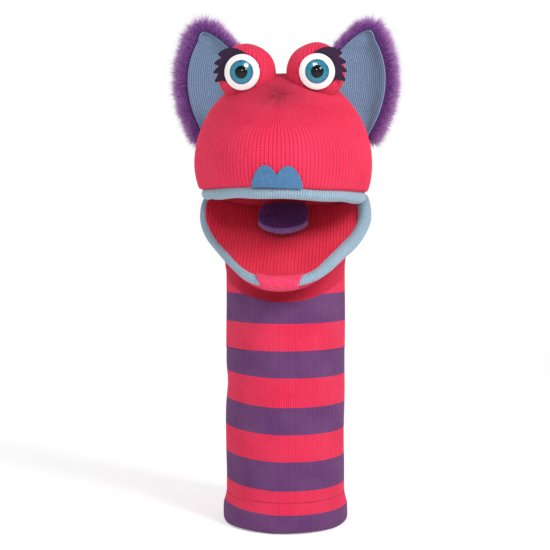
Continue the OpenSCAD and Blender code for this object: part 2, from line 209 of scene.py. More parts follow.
def make_stitch_group():
    """Stocking stitch: columns of V-shaped loops, counted one a unit in the cloth's map."""
    recipe, given, out = new_group(
        "stocking_stitch",
        [("Stitches", "NodeSocketVector", None), ("Slant", "NodeSocketFloat", 0.55)],
        [("Height", "NodeSocketFloat"), ("Shadow", "NodeSocketFloat"), ("Tint", "NodeSocketFloat")],
    )
    split = recipe.node("ShaderNodeSeparateXYZ")
    recipe.feed(split.inputs[0], given["Stitches"])
    across = recipe.sum("FRACT", split.outputs[0])
    from_middle = recipe.sum("MULTIPLY", recipe.sum("ABSOLUTE", recipe.sum("SUBTRACT", across, 0.5)), 2.0)
    leg = recipe.sum("MULTIPLY_ADD", from_middle, given["Slant"], split.outputs[1])
    along = recipe.sum("SINE", recipe.sum("MULTIPLY", recipe.sum("FRACT", leg), math.pi))
    bulge = recipe.sum("SINE", recipe.sum("MULTIPLY", from_middle, math.pi))
    body = recipe.sum("MULTIPLY_ADD", bulge, 0.5, 0.5)
    rounded = recipe.sum("MULTIPLY_ADD", recipe.sum("POWER", along, 0.5), 0.5, 0.5)
    groove = recipe.ramp(from_middle, 0.62, 1.0, 1.0, 0.0)
    height = recipe.sum("MULTIPLY", recipe.sum("MULTIPLY", rounded, body), groove)
    recipe.feed(out["Height"], height)
    between = recipe.ramp(from_middle, 0.60, 0.98, 0.0, 1.0)
    rows = recipe.ramp(along, 0.0, 0.7, 0.42, 0.0)
    recipe.feed(out["Shadow"], recipe.sum("MAXIMUM", between, rows))
    cell = recipe.node("ShaderNodeCombineXYZ")
    recipe.feed(cell.inputs[0], recipe.sum("FLOOR", split.outputs[0]))
    recipe.feed(cell.inputs[1], recipe.sum("FLOOR", leg))
    speckle = recipe.node("ShaderNodeTexWhiteNoise", noise_dimensions="3D")
    recipe.feed(speckle.inputs[0], cell.outputs[0])
    recipe.feed(out["Tint"], speckle.outputs[0])


def make_fibre_group():
    """Loose fibres and soft wear: fine matted threads with broad, faint patches."""
    recipe, given, out = new_group(
        "fibre_fuzz",
        [("Place", "NodeSocketVector", None), ("Fineness", "NodeSocketFloat", 900.0)],
        [("Height", "NodeSocketFloat"), ("Patches", "NodeSocketFloat"), ("Fibres", "NodeSocketFloat")],
    )
    scaled = recipe.node("ShaderNodeVectorMath", operation="SCALE")
    recipe.feed(scaled.inputs[0], given["Place"])
    recipe.feed(scaled.inputs["Scale"], given["Fineness"])
    fine = recipe.noise(scaled.outputs[0], 1.0, 3.0, 0.7)
    stretched = recipe.node("ShaderNodeVectorMath", operation="MULTIPLY")
    recipe.feed(stretched.inputs[0], scaled.outputs[0])
    stretched.inputs[1].default_value = (0.25, 1.0, 0.6)
    threads = recipe.noise(stretched.outputs[0], 1.0, 2.0, 0.6)
    grain = recipe.sum("MULTIPLY", fine, 0.4)
    recipe.feed(out["Height"], recipe.sum("MULTIPLY_ADD", threads, 0.6, grain))
    patches = recipe.noise(given["Place"], 28.0, 2.0)
    recipe.feed(out["Patches"], recipe.ramp(patches, 0.35, 0.65, 0.0, 1.0))
    recipe.feed(out["Fibres"], recipe.ramp(threads, 0.45, 0.7, 0.0, 1.0))


def make_pile_group():
    """Pile strands: dark at the root, paler to the tip, each a little different."""
    recipe, given, out = new_group(
        "pile_colour",
        [("Strand", "NodeSocketVector", None), ("Root", "NodeSocketColor", None),
         ("Middle", "NodeSocketColor", None), ("Tip", "NodeSocketColor", None)],
        [("Color", "NodeSocketColor")],
    )
    split = recipe.node("ShaderNodeSeparateXYZ")
    recipe.feed(split.inputs[0], given["Strand"])
    reach = split.outputs[1]
    low = recipe.blend(recipe.ramp(reach, 0.0, 0.55, 0.0, 1.0), given["Root"], given["Middle"])
    high = recipe.blend(recipe.ramp(reach, 0.55, 1.0, 0.0, 1.0), low, given["Tip"])
    shade = recipe.ramp(split.outputs[0], 0.0, 1.0, 0.0, 0.28)
    recipe.feed(out["Color"], recipe.blend(shade, high, (0.01, 0.002, 0.015, 1.0)))


def new_material(name, roughness, sheen=0.0, sheen_tint=(1, 1, 1, 1), **settings):
    """A Principled material with its fixed values on the shader's own sockets."""
    material = bpy.data.materials.new(name)
    material.use_nodes = True
    recipe = Recipe(material.node_tree)
    shader = material.node_tree.nodes["Principled BSDF"]
    shader.inputs["Roughness"].default_value = roughness
    shader.inputs["Sheen Weight"].default_value = sheen
    shader.inputs["Sheen Tint"].default_value = sheen_tint
    for label, value in settings.items():
        shader.inputs[label.replace("_", " ")].default_value = value
    return material, recipe, shader


def knit_finish(recipe, shader, stitches, colour, shadow, glow, depth):
    """Colour and relief of knitted cloth over a base colour that may itself be patterned."""
    sized = recipe.node("ShaderNodeVectorMath", operation="MULTIPLY")
    recipe.feed(sized.inputs[0], stitches)
    sized.inputs[1].default_value = (2.4 * MM, 1.9 * MM, 1.0)
    place = sized.outputs[0]
    loops = recipe.group("stocking_stitch", Stitches=stitches)
    fuzz = recipe.group("fibre_fuzz", Place=place, Fineness=1400.0)
    crowding = recipe.node("ShaderNodeSeparateXYZ")
    recipe.feed(crowding.inputs[0], recipe.cloth_map("crowding"))
    open_share = recipe.sum("MULTIPLY_ADD", crowding.outputs[0], -0.75, 0.8)
    deep = recipe.blend(recipe.sum("MULTIPLY", loops["Shadow"], open_share), colour, shadow)
    worn = recipe.blend(recipe.sum("MULTIPLY", fuzz["Fibres"], 0.16), deep, glow)
    varied = recipe.blend(recipe.sum("MULTIPLY", loops["Tint"], 0.16), worn, shadow)
    soft = recipe.blend(recipe.sum("MULTIPLY", fuzz["Patches"], 0.12), varied, glow)
    recipe.feed(shader.inputs["Base Color"], soft)
    relief = recipe.sum("MULTIPLY_ADD", fuzz["Height"], 0.3, loops["Height"])
    recipe.feed(shader.inputs["Normal"], recipe.bump(relief, depth))
    recipe.feed(shader.inputs["Roughness"], recipe.ramp(fuzz["Height"], 0.3, 0.7, 0.82, 1.0))


PINK = srgb(224, 24, 72)
PINK_SHADOW = srgb(150, 4, 42)
PINK_GLOW = srgb(246, 82, 116)
PURPLE = srgb(92, 42, 104)
PURPLE_SHADOW = srgb(44, 14, 56)
PURPLE_GLOW = srgb(150, 104, 146)


def knit_material(name, sheen, sheen_tint, colour, shadow, glow, depth):
    material, recipe, shader = new_material(name, 0.9, sheen, sheen_tint)
    knit_finish(recipe, shader, recipe.cloth_map("stitches"), colour, shadow, glow, depth)
    return material


def striped_knit_material():
    """Even bands above a hem band; the cloth's map counts courses up from the hem."""
    material, recipe, shader = new_material("striped_knit", 0.9, 0.14, srgb(225, 150, 185))
    stitches = recipe.cloth_map("stitches")
    split = recipe.node("ShaderNodeSeparateXYZ")
    recipe.feed(split.inputs[0], stitches)
    course = recipe.sum("FLOOR", split.outputs[1])
    rise = recipe.sum("MULTIPLY_ADD", course, SLEEVE_COURSE, SLEEVE_COURSE / 2)
    band = recipe.sum("DIVIDE", recipe.sum("SUBTRACT", rise, BAND_START), BAND)
    odd = recipe.sum("GREATER_THAN", recipe.sum("FRACT", recipe.sum("DIVIDE", band, 2.0)), 0.5)
    low_enough = recipe.sum("LESS_THAN", band, 8.0)
    striped = recipe.sum("MULTIPLY", odd, low_enough)
    hem = recipe.sum("LESS_THAN", rise, HEM_BAND)
    above_hem = recipe.sum("GREATER_THAN", rise, HEM_BAND)
    purple = recipe.sum("MAXIMUM", recipe.sum("MULTIPLY", striped, above_hem), hem)
    colour = recipe.blend(purple, PINK, PURPLE)
    shadow = recipe.blend(purple, PINK_SHADOW, PURPLE_SHADOW)
    glow = recipe.blend(purple, PINK_GLOW, PURPLE_GLOW)
    knit_finish(recipe, shader, stitches, colour, shadow, glow, 0.35 * MM)
    return material


def rib_material(name, colour, shadow, glow, along):
    """Ribbed knit: the ridges are in the mesh, and this adds stitches along them."""
    material, recipe, shader = new_material(name, 0.88, 0.3, srgb(235, 240, 250))
    stitches = recipe.cloth_map("stitches")
    split = recipe.node("ShaderNodeSeparateXYZ")
    recipe.feed(split.inputs[0], stitches)
    ridge = recipe.sum("COSINE", recipe.sum("MULTIPLY", split.outputs[0], TURN))
    twist = recipe.sum("SINE", recipe.sum("MULTIPLY", split.outputs[1], TURN))
    fuzz = recipe.group("fibre_fuzz", Place=recipe.place(), Fineness=1300.0)
    deep = recipe.blend(recipe.ramp(ridge, -0.9, 0.2, 0.75, 0.0), colour, shadow)
    worn = recipe.blend(recipe.sum("MULTIPLY", fuzz["Fibres"], 0.2), deep, glow)
    recipe.feed(shader.inputs["Base Color"], recipe.blend(
        recipe.sum("MULTIPLY", fuzz["Patches"], 0.15), worn, shadow
    ))
    relief = recipe.sum("MULTIPLY_ADD", twist, along, fuzz["Height"])
    recipe.feed(shader.inputs["Normal"], recipe.bump(relief, 0.3 * MM))
    return material


def felt_material(name, colour, glow, sheen=0.3):
    material, recipe, shader = new_material(name, 0.95, sheen, glow)
    fuzz = recipe.group("fibre_fuzz", Place=recipe.place(), Fineness=1100.0)
    coarse = recipe.group("fibre_fuzz", Place=recipe.place(), Fineness=420.0)
    worn = recipe.blend(recipe.sum("MULTIPLY", fuzz["Fibres"], 0.3), colour, glow)
    recipe.feed(shader.inputs["Base Color"], recipe.blend(
        recipe.sum("MULTIPLY", coarse["Patches"], 0.14), worn, glow
    ))
    relief = recipe.sum("MULTIPLY_ADD", coarse["Height"], 1.2, fuzz["Height"])
    recipe.feed(shader.inputs["Normal"], recipe.bump(relief, 0.35 * MM))
    return material


def pile_material(name, root, middle, tip, sheen_tint):
    material, recipe, shader = new_material(name, 0.75, 0.4, sheen_tint)
    pile = recipe.group(
        "pile_colour", Strand=recipe.cloth_map("strand"), Root=root, Middle=middle, Tip=tip
    )
    recipe.feed(shader.inputs["Base Color"], pile["Color"])
    return material


def backing_material(name, colour, shadow):
    """Cloth under a pile, seen only between the strands."""
    material, recipe, shader = new_material(name, 0.95, 0.2, colour)
    fuzz = recipe.group("fibre_fuzz", Place=recipe.place(), Fineness=700.0)
    recipe.feed(shader.inputs["Base Color"], recipe.blend(fuzz["Height"], shadow, colour))
    recipe.feed(shader.inputs["Normal"], recipe.bump(fuzz["Height"], 0.6 * MM))
    return material


def eye_white_material():
    material, recipe, shader = new_material("eye_white", 0.12, Coat_Weight=0.6, Coat_Roughness=0.04)
    place = recipe.place()
    milky = recipe.noise(place, 90.0, 2.0)
    colour = recipe.blend(milky, srgb(228, 221, 218), srgb(212, 204, 203))
    recipe.feed(shader.inputs["Base Color"], colour)
    scuffs = recipe.noise(place, 900.0, 3.0)
    recipe.feed(shader.inputs["Roughness"], recipe.ramp(scuffs, 0.45, 0.75, 0.08, 0.2))
    return material


def iris_material():
    """Moulded iris: pale streaks round the pupil inside a darker ring."""
    material, recipe, shader = new_material("eye_iris", 0.2, Coat_Weight=0.25, Coat_Roughness=0.05)
    rings = recipe.node("ShaderNodeSeparateXYZ")
    recipe.feed(rings.inputs[0], recipe.cloth_map("rings"))
    out = rings.outputs[1]
    streak_place = recipe.node("ShaderNodeCombineXYZ")
    recipe.feed(streak_place.inputs[0], recipe.sum("MULTIPLY", rings.outputs[0], 60.0))
    recipe.feed(streak_place.inputs[1], recipe.sum("MULTIPLY", out, 1.5))
    streaks = recipe.noise(streak_place.outputs[0], 1.0, 2.0)
    inner = recipe.blend(recipe.ramp(streaks, 0.35, 0.7, 0.0, 1.0), srgb(8, 96, 124), srgb(26, 128, 150))
    ringed = recipe.blend(recipe.ramp(out, 0.72, 0.97, 0.0, 1.0), inner, srgb(8, 84, 112))
    recipe.feed(shader.inputs["Base Color"], ringed)
    recipe.feed(shader.inputs["Roughness"], recipe.ramp(streaks, 0.3, 0.7, 0.1, 0.22))
    return material


def pupil_material():
    material, recipe, shader = new_material("eye_pupil", 0.08, Specular_IOR_Level=0.3)
    cloud = recipe.noise(recipe.place(), 300.0, 2.0)
    recipe.feed(shader.inputs["Base Color"], recipe.blend(cloud, srgb(1, 1, 2), srgb(4, 4, 6)))
    return material


def board_material():
    material, recipe, shader = new_material("palate_board", 0.6)
    grain = recipe.group("fibre_fuzz", Place=recipe.place(), Fineness=260.0)
    recipe.feed(shader.inputs["Base Color"], recipe.blend(
        grain["Height"], srgb(188, 166, 128), srgb(220, 204, 172)
    ))
    recipe.feed(shader.inputs["Normal"], recipe.bump(grain["Height"], 0.2 * MM))
    return material


def washer_material():
    material, recipe, shader = new_material("washer_plastic", 0.4)
    haze = recipe.noise(recipe.place(), 500.0, 3.0)
    recipe.feed(shader.inputs["Base Color"], recipe.blend(haze, srgb(214, 214, 210), srgb(236, 236, 232)))
    recipe.feed(shader.inputs["Roughness"], recipe.ramp(haze, 0.3, 0.7, 0.32, 0.5))
    return material


def elastic_material():
    """Woven elastic: close ribs across the band."""
    material, recipe, shader = new_material("elastic", 0.8, 0.2)
    split = recipe.node("ShaderNodeSeparateXYZ")
    recipe.feed(split.inputs[0], recipe.place())
    across = recipe.sum("SINE", recipe.sum("MULTIPLY", split.outputs[0], 4200.0))
    along = recipe.sum("SINE", recipe.sum("MULTIPLY", split.outputs[1], 5200.0))
    weave = recipe.sum("MULTIPLY", across, along)
    recipe.feed(shader.inputs["Base Color"], recipe.blend(
        recipe.ramp(weave, -1.0, 1.0, 0.0, 1.0), srgb(20, 20, 24), srgb(58, 58, 66)
    ))
    recipe.feed(shader.inputs["Normal"], recipe.bump(weave, 0.2 * MM))
    return material


def stuffing_material():
    material, recipe, shader = new_material("stuffing", 0.95, 0.3)
    fuzz = recipe.group("fibre_fuzz", Place=recipe.place(), Fineness=300.0)
    recipe.feed(shader.inputs["Base Color"], recipe.blend(
        fuzz["Height"], srgb(214, 212, 204), srgb(246, 245, 240)
    ))
    recipe.feed(shader.inputs["Normal"], recipe.bump(fuzz["Height"], 1.0 * MM))
    return material


def thread_material(name, colour, shadow):
    material, recipe, shader = new_material(name, 0.7, 0.2)
    split = recipe.node("ShaderNodeSeparateXYZ")
    recipe.feed(split.inputs[0], recipe.place())
    lay = recipe.sum("ADD", split.outputs[0], recipe.sum("ADD", split.outputs[1], split.outputs[2]))
    twist = recipe.sum("SINE", recipe.sum("MULTIPLY", lay, 6000.0))
    recipe.feed(shader.inputs["Base Color"], recipe.blend(
        recipe.ramp(twist, -1.0, 1.0, 0.0, 1.0), shadow, colour
    ))
    recipe.feed(shader.inputs["Normal"], recipe.bump(twist, 0.15 * MM))
    return material


make_stitch_group()
make_fibre_group()
make_pile_group()
pink_knit = knit_material(
    "pink_knit", 0.12, srgb(255, 130, 150), PINK, PINK_SHADOW, PINK_GLOW, 0.5 * MM,
)
mouth_knit = knit_material(
    "mouth_knit", 0.15, srgb(255, 120, 140),
    srgb(218, 20, 60), srgb(140, 2, 30), srgb(240, 80, 106), 0.4 * MM,
)
striped_knit = striped_knit_material()
lip_rib = rib_material("lip_rib", srgb(138, 162, 178), srgb(84, 112, 134), srgb(182, 198, 204), 0.2)
ear_rib = rib_material("ear_rib", srgb(106, 132, 160), srgb(50, 64, 100), srgb(148, 170, 188), 0.06)
blue_felt = felt_material("blue_felt", srgb(58, 100, 140), srgb(90, 134, 170), 0.08)
pink_felt = felt_material("pink_felt", srgb(206, 40, 82), srgb(232, 96, 128), 0.1)
lash_felt = felt_material("lash_felt", srgb(30, 4, 38), srgb(50, 16, 60), 0.0)
ear_fur = pile_material(
    "ear_fur", srgb(72, 24, 100), srgb(142, 66, 170), srgb(214, 168, 214), srgb(210, 170, 220)
)
tongue_pile = pile_material(
    "tongue_plush", srgb(76, 28, 112), srgb(130, 66, 168), srgb(170, 112, 196), srgb(150, 110, 180)
)
fur_backing = backing_material("fur_backing", srgb(96, 36, 124), srgb(56, 14, 78))
tongue_backing = backing_material("tongue_backing", srgb(56, 26, 86), srgb(20, 6, 36))
eye_white = eye_white_material()
eye_iris = iris_material()
eye_pupil = pupil_material()
palate_board = board_material()
washer_plastic = washer_material()
elastic = elastic_material()
stuffing = stuffing_material()
purple_thread = thread_material("purple_thread", srgb(90, 50, 112), srgb(36, 14, 50))


# ---------------------------------------------------------------- shapes as fields of points

def mix(first, second, share):
    return first * (1 - share) + second * share


def smooth(share):
    share = np.clip(share, 0, 1)
    return share * share * (3 - 2 * share)


def hump(value, middle, width):
    """A soft bell, 1 at the middle and close to 0 at one and a half widths away."""
    return np.exp(-((value - middle) / width) ** 2)


def stack(x, y, z):
    x, y, z = np.broadcast_arrays(x, y, z)
    return np.stack([x, y, z], axis=-1)


def spread(values, points):
    """Values for every point of a grid, from values for its rows or its columns."""
    return np.broadcast_to(values, points.shape[:2])


def unit(vectors):
    return vectors / np.maximum(np.linalg.norm(vectors, axis=-1, keepdims=True), 1e-12)


def dome_share(rise):
    """The head's width at a height above the lip, as a share of its widest."""
    below = 1 - ((CHEEK_RISE - rise) / BROW_DROP) ** 2
    above = 1 - ((rise - CHEEK_RISE) / crown_rise) ** 2
    return np.sqrt(np.maximum(np.where(rise < CHEEK_RISE, below, above), 0))


def head_point(direction):
    """The head's surface along directions in which the dome above the cheeks is a unit ball."""
    x = direction[..., 0] * head_half_wide
    y = head_y + direction[..., 1] * head_half_deep
    up = direction[..., 2]
    z = lip_z + CHEEK_RISE + up * np.where(up < 0, BROW_DROP, crown_rise)
    return stack(x, y, z)


def wrist_rise(y, share):
    return sleeve_top + share * mix(front_rise, back_rise, (1 + y / sleeve_radius) / 2)


def opened(points):
    """Turns points of the shut jaw down about the hinge."""
    y = points[..., 1] - hinge[1]
    z = points[..., 2] - hinge[2]
    c, s = math.cos(mouth_angle), math.sin(mouth_angle)
    return stack(points[..., 0], hinge[1] + y * c - z * s, hinge[2] + y * s + z * c)


def jaw_edge_depth(s):
    return BINDING_RISE + 1.5 * MM + 18 * MM * (1 - np.abs(s) ** 3)


def lip_line(half_wide, half_deep, turn):
    return stack(half_wide * np.sin(turn), head_y - half_deep * np.cos(turn), 0 * turn)


def jaw_draw(turn):
    """The lower lip narrows towards its front quarters."""
    return 1 - JAW_TAPER * np.maximum(0, np.sin(2 * np.abs(turn))) ** 1.4


def jaw_shell(s, depth, inset):
    k = np.sqrt(np.maximum(1 - (depth / (30 * MM)) ** 2, 0))
    turn = s * corner_turn
    x = (jaw_half_wide - inset) * k * np.sin(turn) * jaw_draw(turn)
    y = head_y - (jaw_half_deep - inset) * k * np.cos(turn)
    return stack(x, y, jaw_lip_z - depth)


def push_out(points, amount, closed_u=False):
    """Moves a grid of points along the surface's normals; rows are v and columns are u."""
    if closed_u:
        across = np.roll(points, -1, axis=1) - np.roll(points, 1, axis=1)
    else:
        across = np.gradient(points, axis=1)
    along = np.gradient(points, axis=0)
    return points + unit(np.cross(across, along)) * np.asarray(amount)[..., None]


def wales(columns, depth, sharpness=0.7):
    """Height of knitted ridges, counted in columns of stitches."""
    return depth * (np.abs(np.sin(np.pi * columns)) ** sharpness - 0.6)


def slow_noise(points, seed, size):
    """Smooth, repeatable unevenness over a field of points, about -1 to 1."""
    random = np.random.default_rng(seed)
    total = np.zeros(points.shape[:-1])
    for _ in range(7):
        wave = unit(random.normal(size=3)) * TURN / size * random.uniform(0.6, 1.5)
        total += np.sin(points @ wave + random.uniform(0, TURN))
    return total / 3.5


# ---------------------------------------------------------------- meshes

def as_object(name, mesh, material):
    made = bpy.data.objects.new(name, mesh)
    bpy.context.scene.collection.objects.link(made)
    made.data.materials.clear()
    made.data.materials.append(material)
    return made


def grid_object(name, points, maps, material, closed_u=False):
    """A mesh whose vertices are the grid points; maps give each vertex's (u, v), by map name."""
    rows, columns = points.shape[:2]
    bm = bmesh.new()
    if closed_u:
        points = np.concatenate([points, points[:, :1]], axis=1)
        columns += 1
    bmesh.ops.create_grid(bm, x_segments=columns - 1, y_segments=rows - 1, size=0.5)
    mesh = bpy.data.meshes.new(name)
    bm.to_mesh(mesh)
    bm.free()
    flat = np.zeros(len(mesh.vertices) * 3)
    mesh.vertices.foreach_get("co", flat)
    flat = flat.reshape(-1, 3)
    column = np.rint((flat[:, 0] + 0.5) * (columns - 1)).astype(int)
    row = np.rint((flat[:, 1] + 0.5) * (rows - 1)).astype(int)
    mesh.vertices.foreach_set("co", points[row, column].ravel())
    corner = np.zeros(len(mesh.loops), dtype=np.int32)
    mesh.loops.foreach_get("vertex_index", corner)
    for old in list(mesh.uv_layers):
        mesh.uv_layers.remove(old)
    for label, (u, v) in maps.items():
        if closed_u:
            u = np.concatenate([u, 2 * u[:, -1:] - u[:, -2:-1]], axis=1)
            v = np.concatenate([v, v[:, :1]], axis=1)
        layer = mesh.uv_layers.new(name=label)
        pair = np.stack([u[row, column], v[row, column]], axis=-1)
        layer.data.foreach_set("uv", pair[corner].ravel())
    if closed_u:
        bm = bmesh.new()
        bm.from_mesh(mesh)
        bmesh.ops.remove_doubles(bm, verts=bm.verts, dist=1e-6)
        bm.to_mesh(mesh)
        bm.free()
    mesh.polygons.foreach_set("use_smooth", [True] * len(mesh.polygons))
    mesh.update()
    return as_object(name, mesh, material)


def close_up(piece, merge=None, above=None, fill=True, outward=True):
    """Merges the doubles within a distance, fills the open ends and turns the faces outwards."""
    bm = bmesh.new()
    bm.from_mesh(piece.data)
    if merge is not None:
        bmesh.ops.remove_doubles(bm, verts=bm.verts, dist=merge)
    if fill:
        ends = [edge for edge in bm.edges if edge.is_boundary]
        if above is not None:
            ends = [edge for edge in ends if edge.verts[0].co.z > above]
        bmesh.ops.holes_fill(bm, edges=ends, sides=0)
    if outward:
        bmesh.ops.recalc_face_normals(bm, faces=bm.faces)
    bm.to_mesh(piece.data)
    bm.free()


def thicken(piece, amount, offset=-1.0):
    made = piece.modifiers.new("cloth", "SOLIDIFY")
    made.thickness = amount
    made.offset = offset
    made.use_rim = True


def refine(piece, levels):
    made = piece.modifiers.new("soften", "SUBSURF")
    made.levels = levels
    made.render_levels = levels


def dressed_node(node, material):
    """A carried-over CAD node keeps its own mesh and gets its finish."""
    piece = bpy.data.objects[node]
    piece.data.materials.clear()
    piece.data.materials.append(material)


def lengths_along(line):
    """Length from the first point of a line to each of its points."""
    return np.concatenate([[0], np.cumsum(np.linalg.norm(np.diff(line, axis=0), axis=1))])


def cloth_area(points):
    """Area of a grid of points, in square metres."""
    a = points[:-1, :-1]
    b = points[:-1, 1:]
    c = points[1:, 1:]
    d = points[1:, :-1]
    first = np.linalg.norm(np.cross(b - a, c - a), axis=-1)
    second = np.linalg.norm(np.cross(c - a, d - a), axis=-1)
    return float((first + second).sum() / 2)


def declare_cloth(points):
    """Works out the area of a knitted panel's grid of points; nothing is done with it."""
    area = cloth_area(points)


# ---------------------------------------------------------------- sleeve and wrist

def tube_points(turns, rises, radius_at, dents):
    """Rows go up, columns go round from the back; dents is a function of (angle, rise)."""
    angle = turns[None, :]
    rise = rises[:, None]
    reach = radius_at(rise) + dents(angle, rise)
    return stack(reach * np.sin(angle), -reach * np.cos(angle), rise + 0 * angle)


def sleeve_dents(angle, rise):
    """Soft hollows and a slack fold near the top left, where the empty sleeve gives a little."""
    fold = hump(rise, 0.112 + 0.012 * np.sin(angle * 2), 0.012) * hump(np.cos(angle + 1.0), 1.0, 0.6)
    below = hump(rise, 0.088 + 0.010 * np.sin(angle * 2), 0.016) * hump(np.cos(angle + 1.0), 1.0, 0.6)
    broad = 0.5 * MM * np.sin(3 * angle + 40 * rise) * np.sin(55 * rise + 1.3)
    ends = smooth((rise - 0.02) / 0.03) * smooth((sleeve_top - rise) / 0.02)
    return (broad - 1.1 * MM * fold + 0.5 * MM * below) * ends


def courses(turns, rises):
    """Courses counted up the sleeve; they ride up a little at the puppet's right side."""
    lifted = 2.8 * MM * np.maximum(0, -np.sin(turns)) ** 1.6
    return (rises - lifted) / SLEEVE_COURSE


def build_sleeve():
    turns = np.linspace(0, TURN, SLEEVE_WALES * 3, endpoint=False) + math.pi
    rises = np.linspace(hem_height + 6 * MM, sleeve_top + 0.6 * MM, 88)
    points = tube_points(turns, rises, lambda rise: sleeve_radius + 0 * rise, sleeve_dents)
    columns = (turns - math.pi) / TURN * SLEEVE_WALES
    u = spread(columns[None, :], points)
    v = courses(turns[None, :], rises[:, None])
    points = push_out(points, wales(u, 0.22 * MM), closed_u=True)
    piece = grid_object(
        "arm_sleeve", points, {"stitches": (u, v)}, striped_knit, closed_u=True
    )
    thicken(piece, CLOTH)
    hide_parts("striped_sleeve")
    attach(piece, "sleeve")
    declare_cloth(points)


def build_hem():
    """The turned-up hem: out over a soft roll at the bottom, then in under the sleeve."""
    turns = np.linspace(0, TURN, SLEEVE_WALES * 3, endpoint=False) + math.pi
    inside = hem_radius - 4.4 * MM
    profile = [
        (inside, hem_height + 0.8 * MM), (inside, 8 * MM), (inside + 0.2 * MM, 3 * MM),
        (inside + 1.0 * MM, 0.7 * MM), (hem_radius - 1.6 * MM, 0.0), (hem_radius - 0.5 * MM, 0.8 * MM),
        (hem_radius, 3 * MM), (hem_radius, 7 * MM), (hem_radius - 0.1 * MM, hem_height - 4 * MM),
        (hem_radius - 1.3 * MM, hem_height), (sleeve_radius + 0.3 * MM, hem_height + 3.6 * MM),
        (sleeve_radius, hem_height + 6 * MM),
    ]
    marks = np.array(profile)
    steps = lengths_along(marks)
    dense = np.linspace(0, steps[-1], 52)
    reach = np.interp(dense, steps, marks[:, 0])
    rise = np.interp(dense, steps, marks[:, 1])
    for _ in range(3):
        reach[1:-1] = (reach[:-2] + 2 * reach[1:-1] + reach[2:]) / 4
        rise[1:-1] = (rise[:-2] + 2 * rise[1:-1] + rise[2:]) / 4
    angle = turns[None, :]
    outer = smooth((dense - steps[4]) / (8 * MM))[:, None]
    pull = 0.35 * MM * np.sin(7 * angle + 1.0) * np.sin(TURN * rise[:, None] / 0.03) * outer
    wave = 0.5 * MM * np.sin(3 * angle + 0.4) * smooth((12 * MM - rise) / (12 * MM))[:, None]
    radius = reach[:, None] + pull
    points = stack(radius * np.sin(angle), -radius * np.cos(angle), rise[:, None] + np.abs(wave))
    columns = (turns - math.pi) / TURN * SLEEVE_WALES
    u = spread(columns[None, :], points)
    v = courses(angle, rise[:, None])
    points = push_out(points, wales(u, 0.22 * MM), closed_u=True)
    piece = grid_object(
        "sleeve_hem", points, {"stitches": (u, v)}, striped_knit, closed_u=True
    )
    thicken(piece, 1.0 * MM)
    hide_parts("hem_cuff")
    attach(piece, "sleeve")


def wrist_points(turns, low_share, high_share, count):
    """Cloth between two slanted rings of the wrist."""
    y = -np.cos(turns) * sleeve_radius
    low = wrist_rise(y, low_share)
    high = wrist_rise(y, high_share)
    share = np.linspace(0, 1, count)[:, None]
    rise = mix(low[None, :], high[None, :], share)
    reach = sleeve_radius + 0 * rise
    return stack(reach * np.sin(turns), -reach * np.cos(turns), rise)


def build_wrist(name, low_share, high_share, count, node):
    turns = np.linspace(0, TURN, SLEEVE_WALES * 3, endpoint=False) + math.pi
    points = wrist_points(turns, low_share, high_share, count)
    columns = (turns - math.pi) / TURN * SLEEVE_WALES
    u = spread(columns[None, :], points)
    points = push_out(points, 0.3 * MM * slow_noise(points, 5, 0.05), closed_u=True)
    v = points[..., 2] / SLEEVE_COURSE
    points = push_out(points, wales(u, 0.22 * MM), closed_u=True)
    piece = grid_object(
        name, points, {"stitches": (u, v)}, striped_knit, closed_u=True
    )
    thicken(piece, CLOTH)
    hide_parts(node)
    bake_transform(piece)
    declare_cloth(points)


build_hem()
build_sleeve()
build_wrist(
    "wrist_lower", 0, 0.5, 34, "wrist_knit_lower",
)
slant = unit(np.array([0, -(back_rise - front_rise) / 2 / sleeve_radius, 1.0]))
build_wrist(
    "wrist_upper", 0.5, 1, 40, "wrist_knit_upper",
)


# ---------------------------------------------------------------- head, nape, jaw and throat

def lip_sag(x):
    """The upper lip hangs a little lower on its +X side."""
    return -2.2 * MM * smooth((x + 20 * MM) / (70 * MM))


def head_field():
    """Wales run up from the lip; the crown they meet at is turned forward to the gathered point."""
    turns = np.linspace(0, TURN, HEAD_WALES * 3, endpoint=False) + math.pi
    share = np.linspace(0, 1, 92)[:, None]
    low = -math.asin((CHEEK_RISE - BINDING_RISE - 0.5 * MM) / BROW_DROP)
    rise = mix(low, math.radians(88.6), share)
    meridian = stack(np.cos(rise) * np.sin(turns), -np.cos(rise) * np.cos(turns), np.sin(rise))
    lean = math.acos(GATHER[2]) * smooth((share - 0.12) / 0.88)
    c, s = np.cos(lean), np.sin(lean)
    y, z = meridian[..., 1], meridian[..., 2]
    return turns, share, stack(meridian[..., 0], y * c - z * s, y * s + z * c)


def head_rim(turns, rim):
    """Rows that turn in under the head's edge, down to the top of the lip's binding."""
    side = np.abs(np.mod(turns + math.pi, TURN) - math.pi)[:, None]
    lip = lip_line(lip_half_wide + 2.7 * MM, lip_half_deep + 2.7 * MM, turns)
    lip[:, 2] = lip_z + 2.9 * MM
    lip = mix(lip, rim - np.array([0, 0, 2 * MM]), smooth((side - corner_turn + 0.1) / 0.3))
    steps = np.array([0.0, 0.22, 0.45, 0.72])[:, None, None]
    rows = mix(lip[None, :, :], rim[None, :, :], steps)
    away = unit((rim - np.array([0, head_y, 0])) * np.array([1, 1, 0]))
    return rows + away[None, :, :] * 0.5 * MM * np.sin(math.pi * steps)


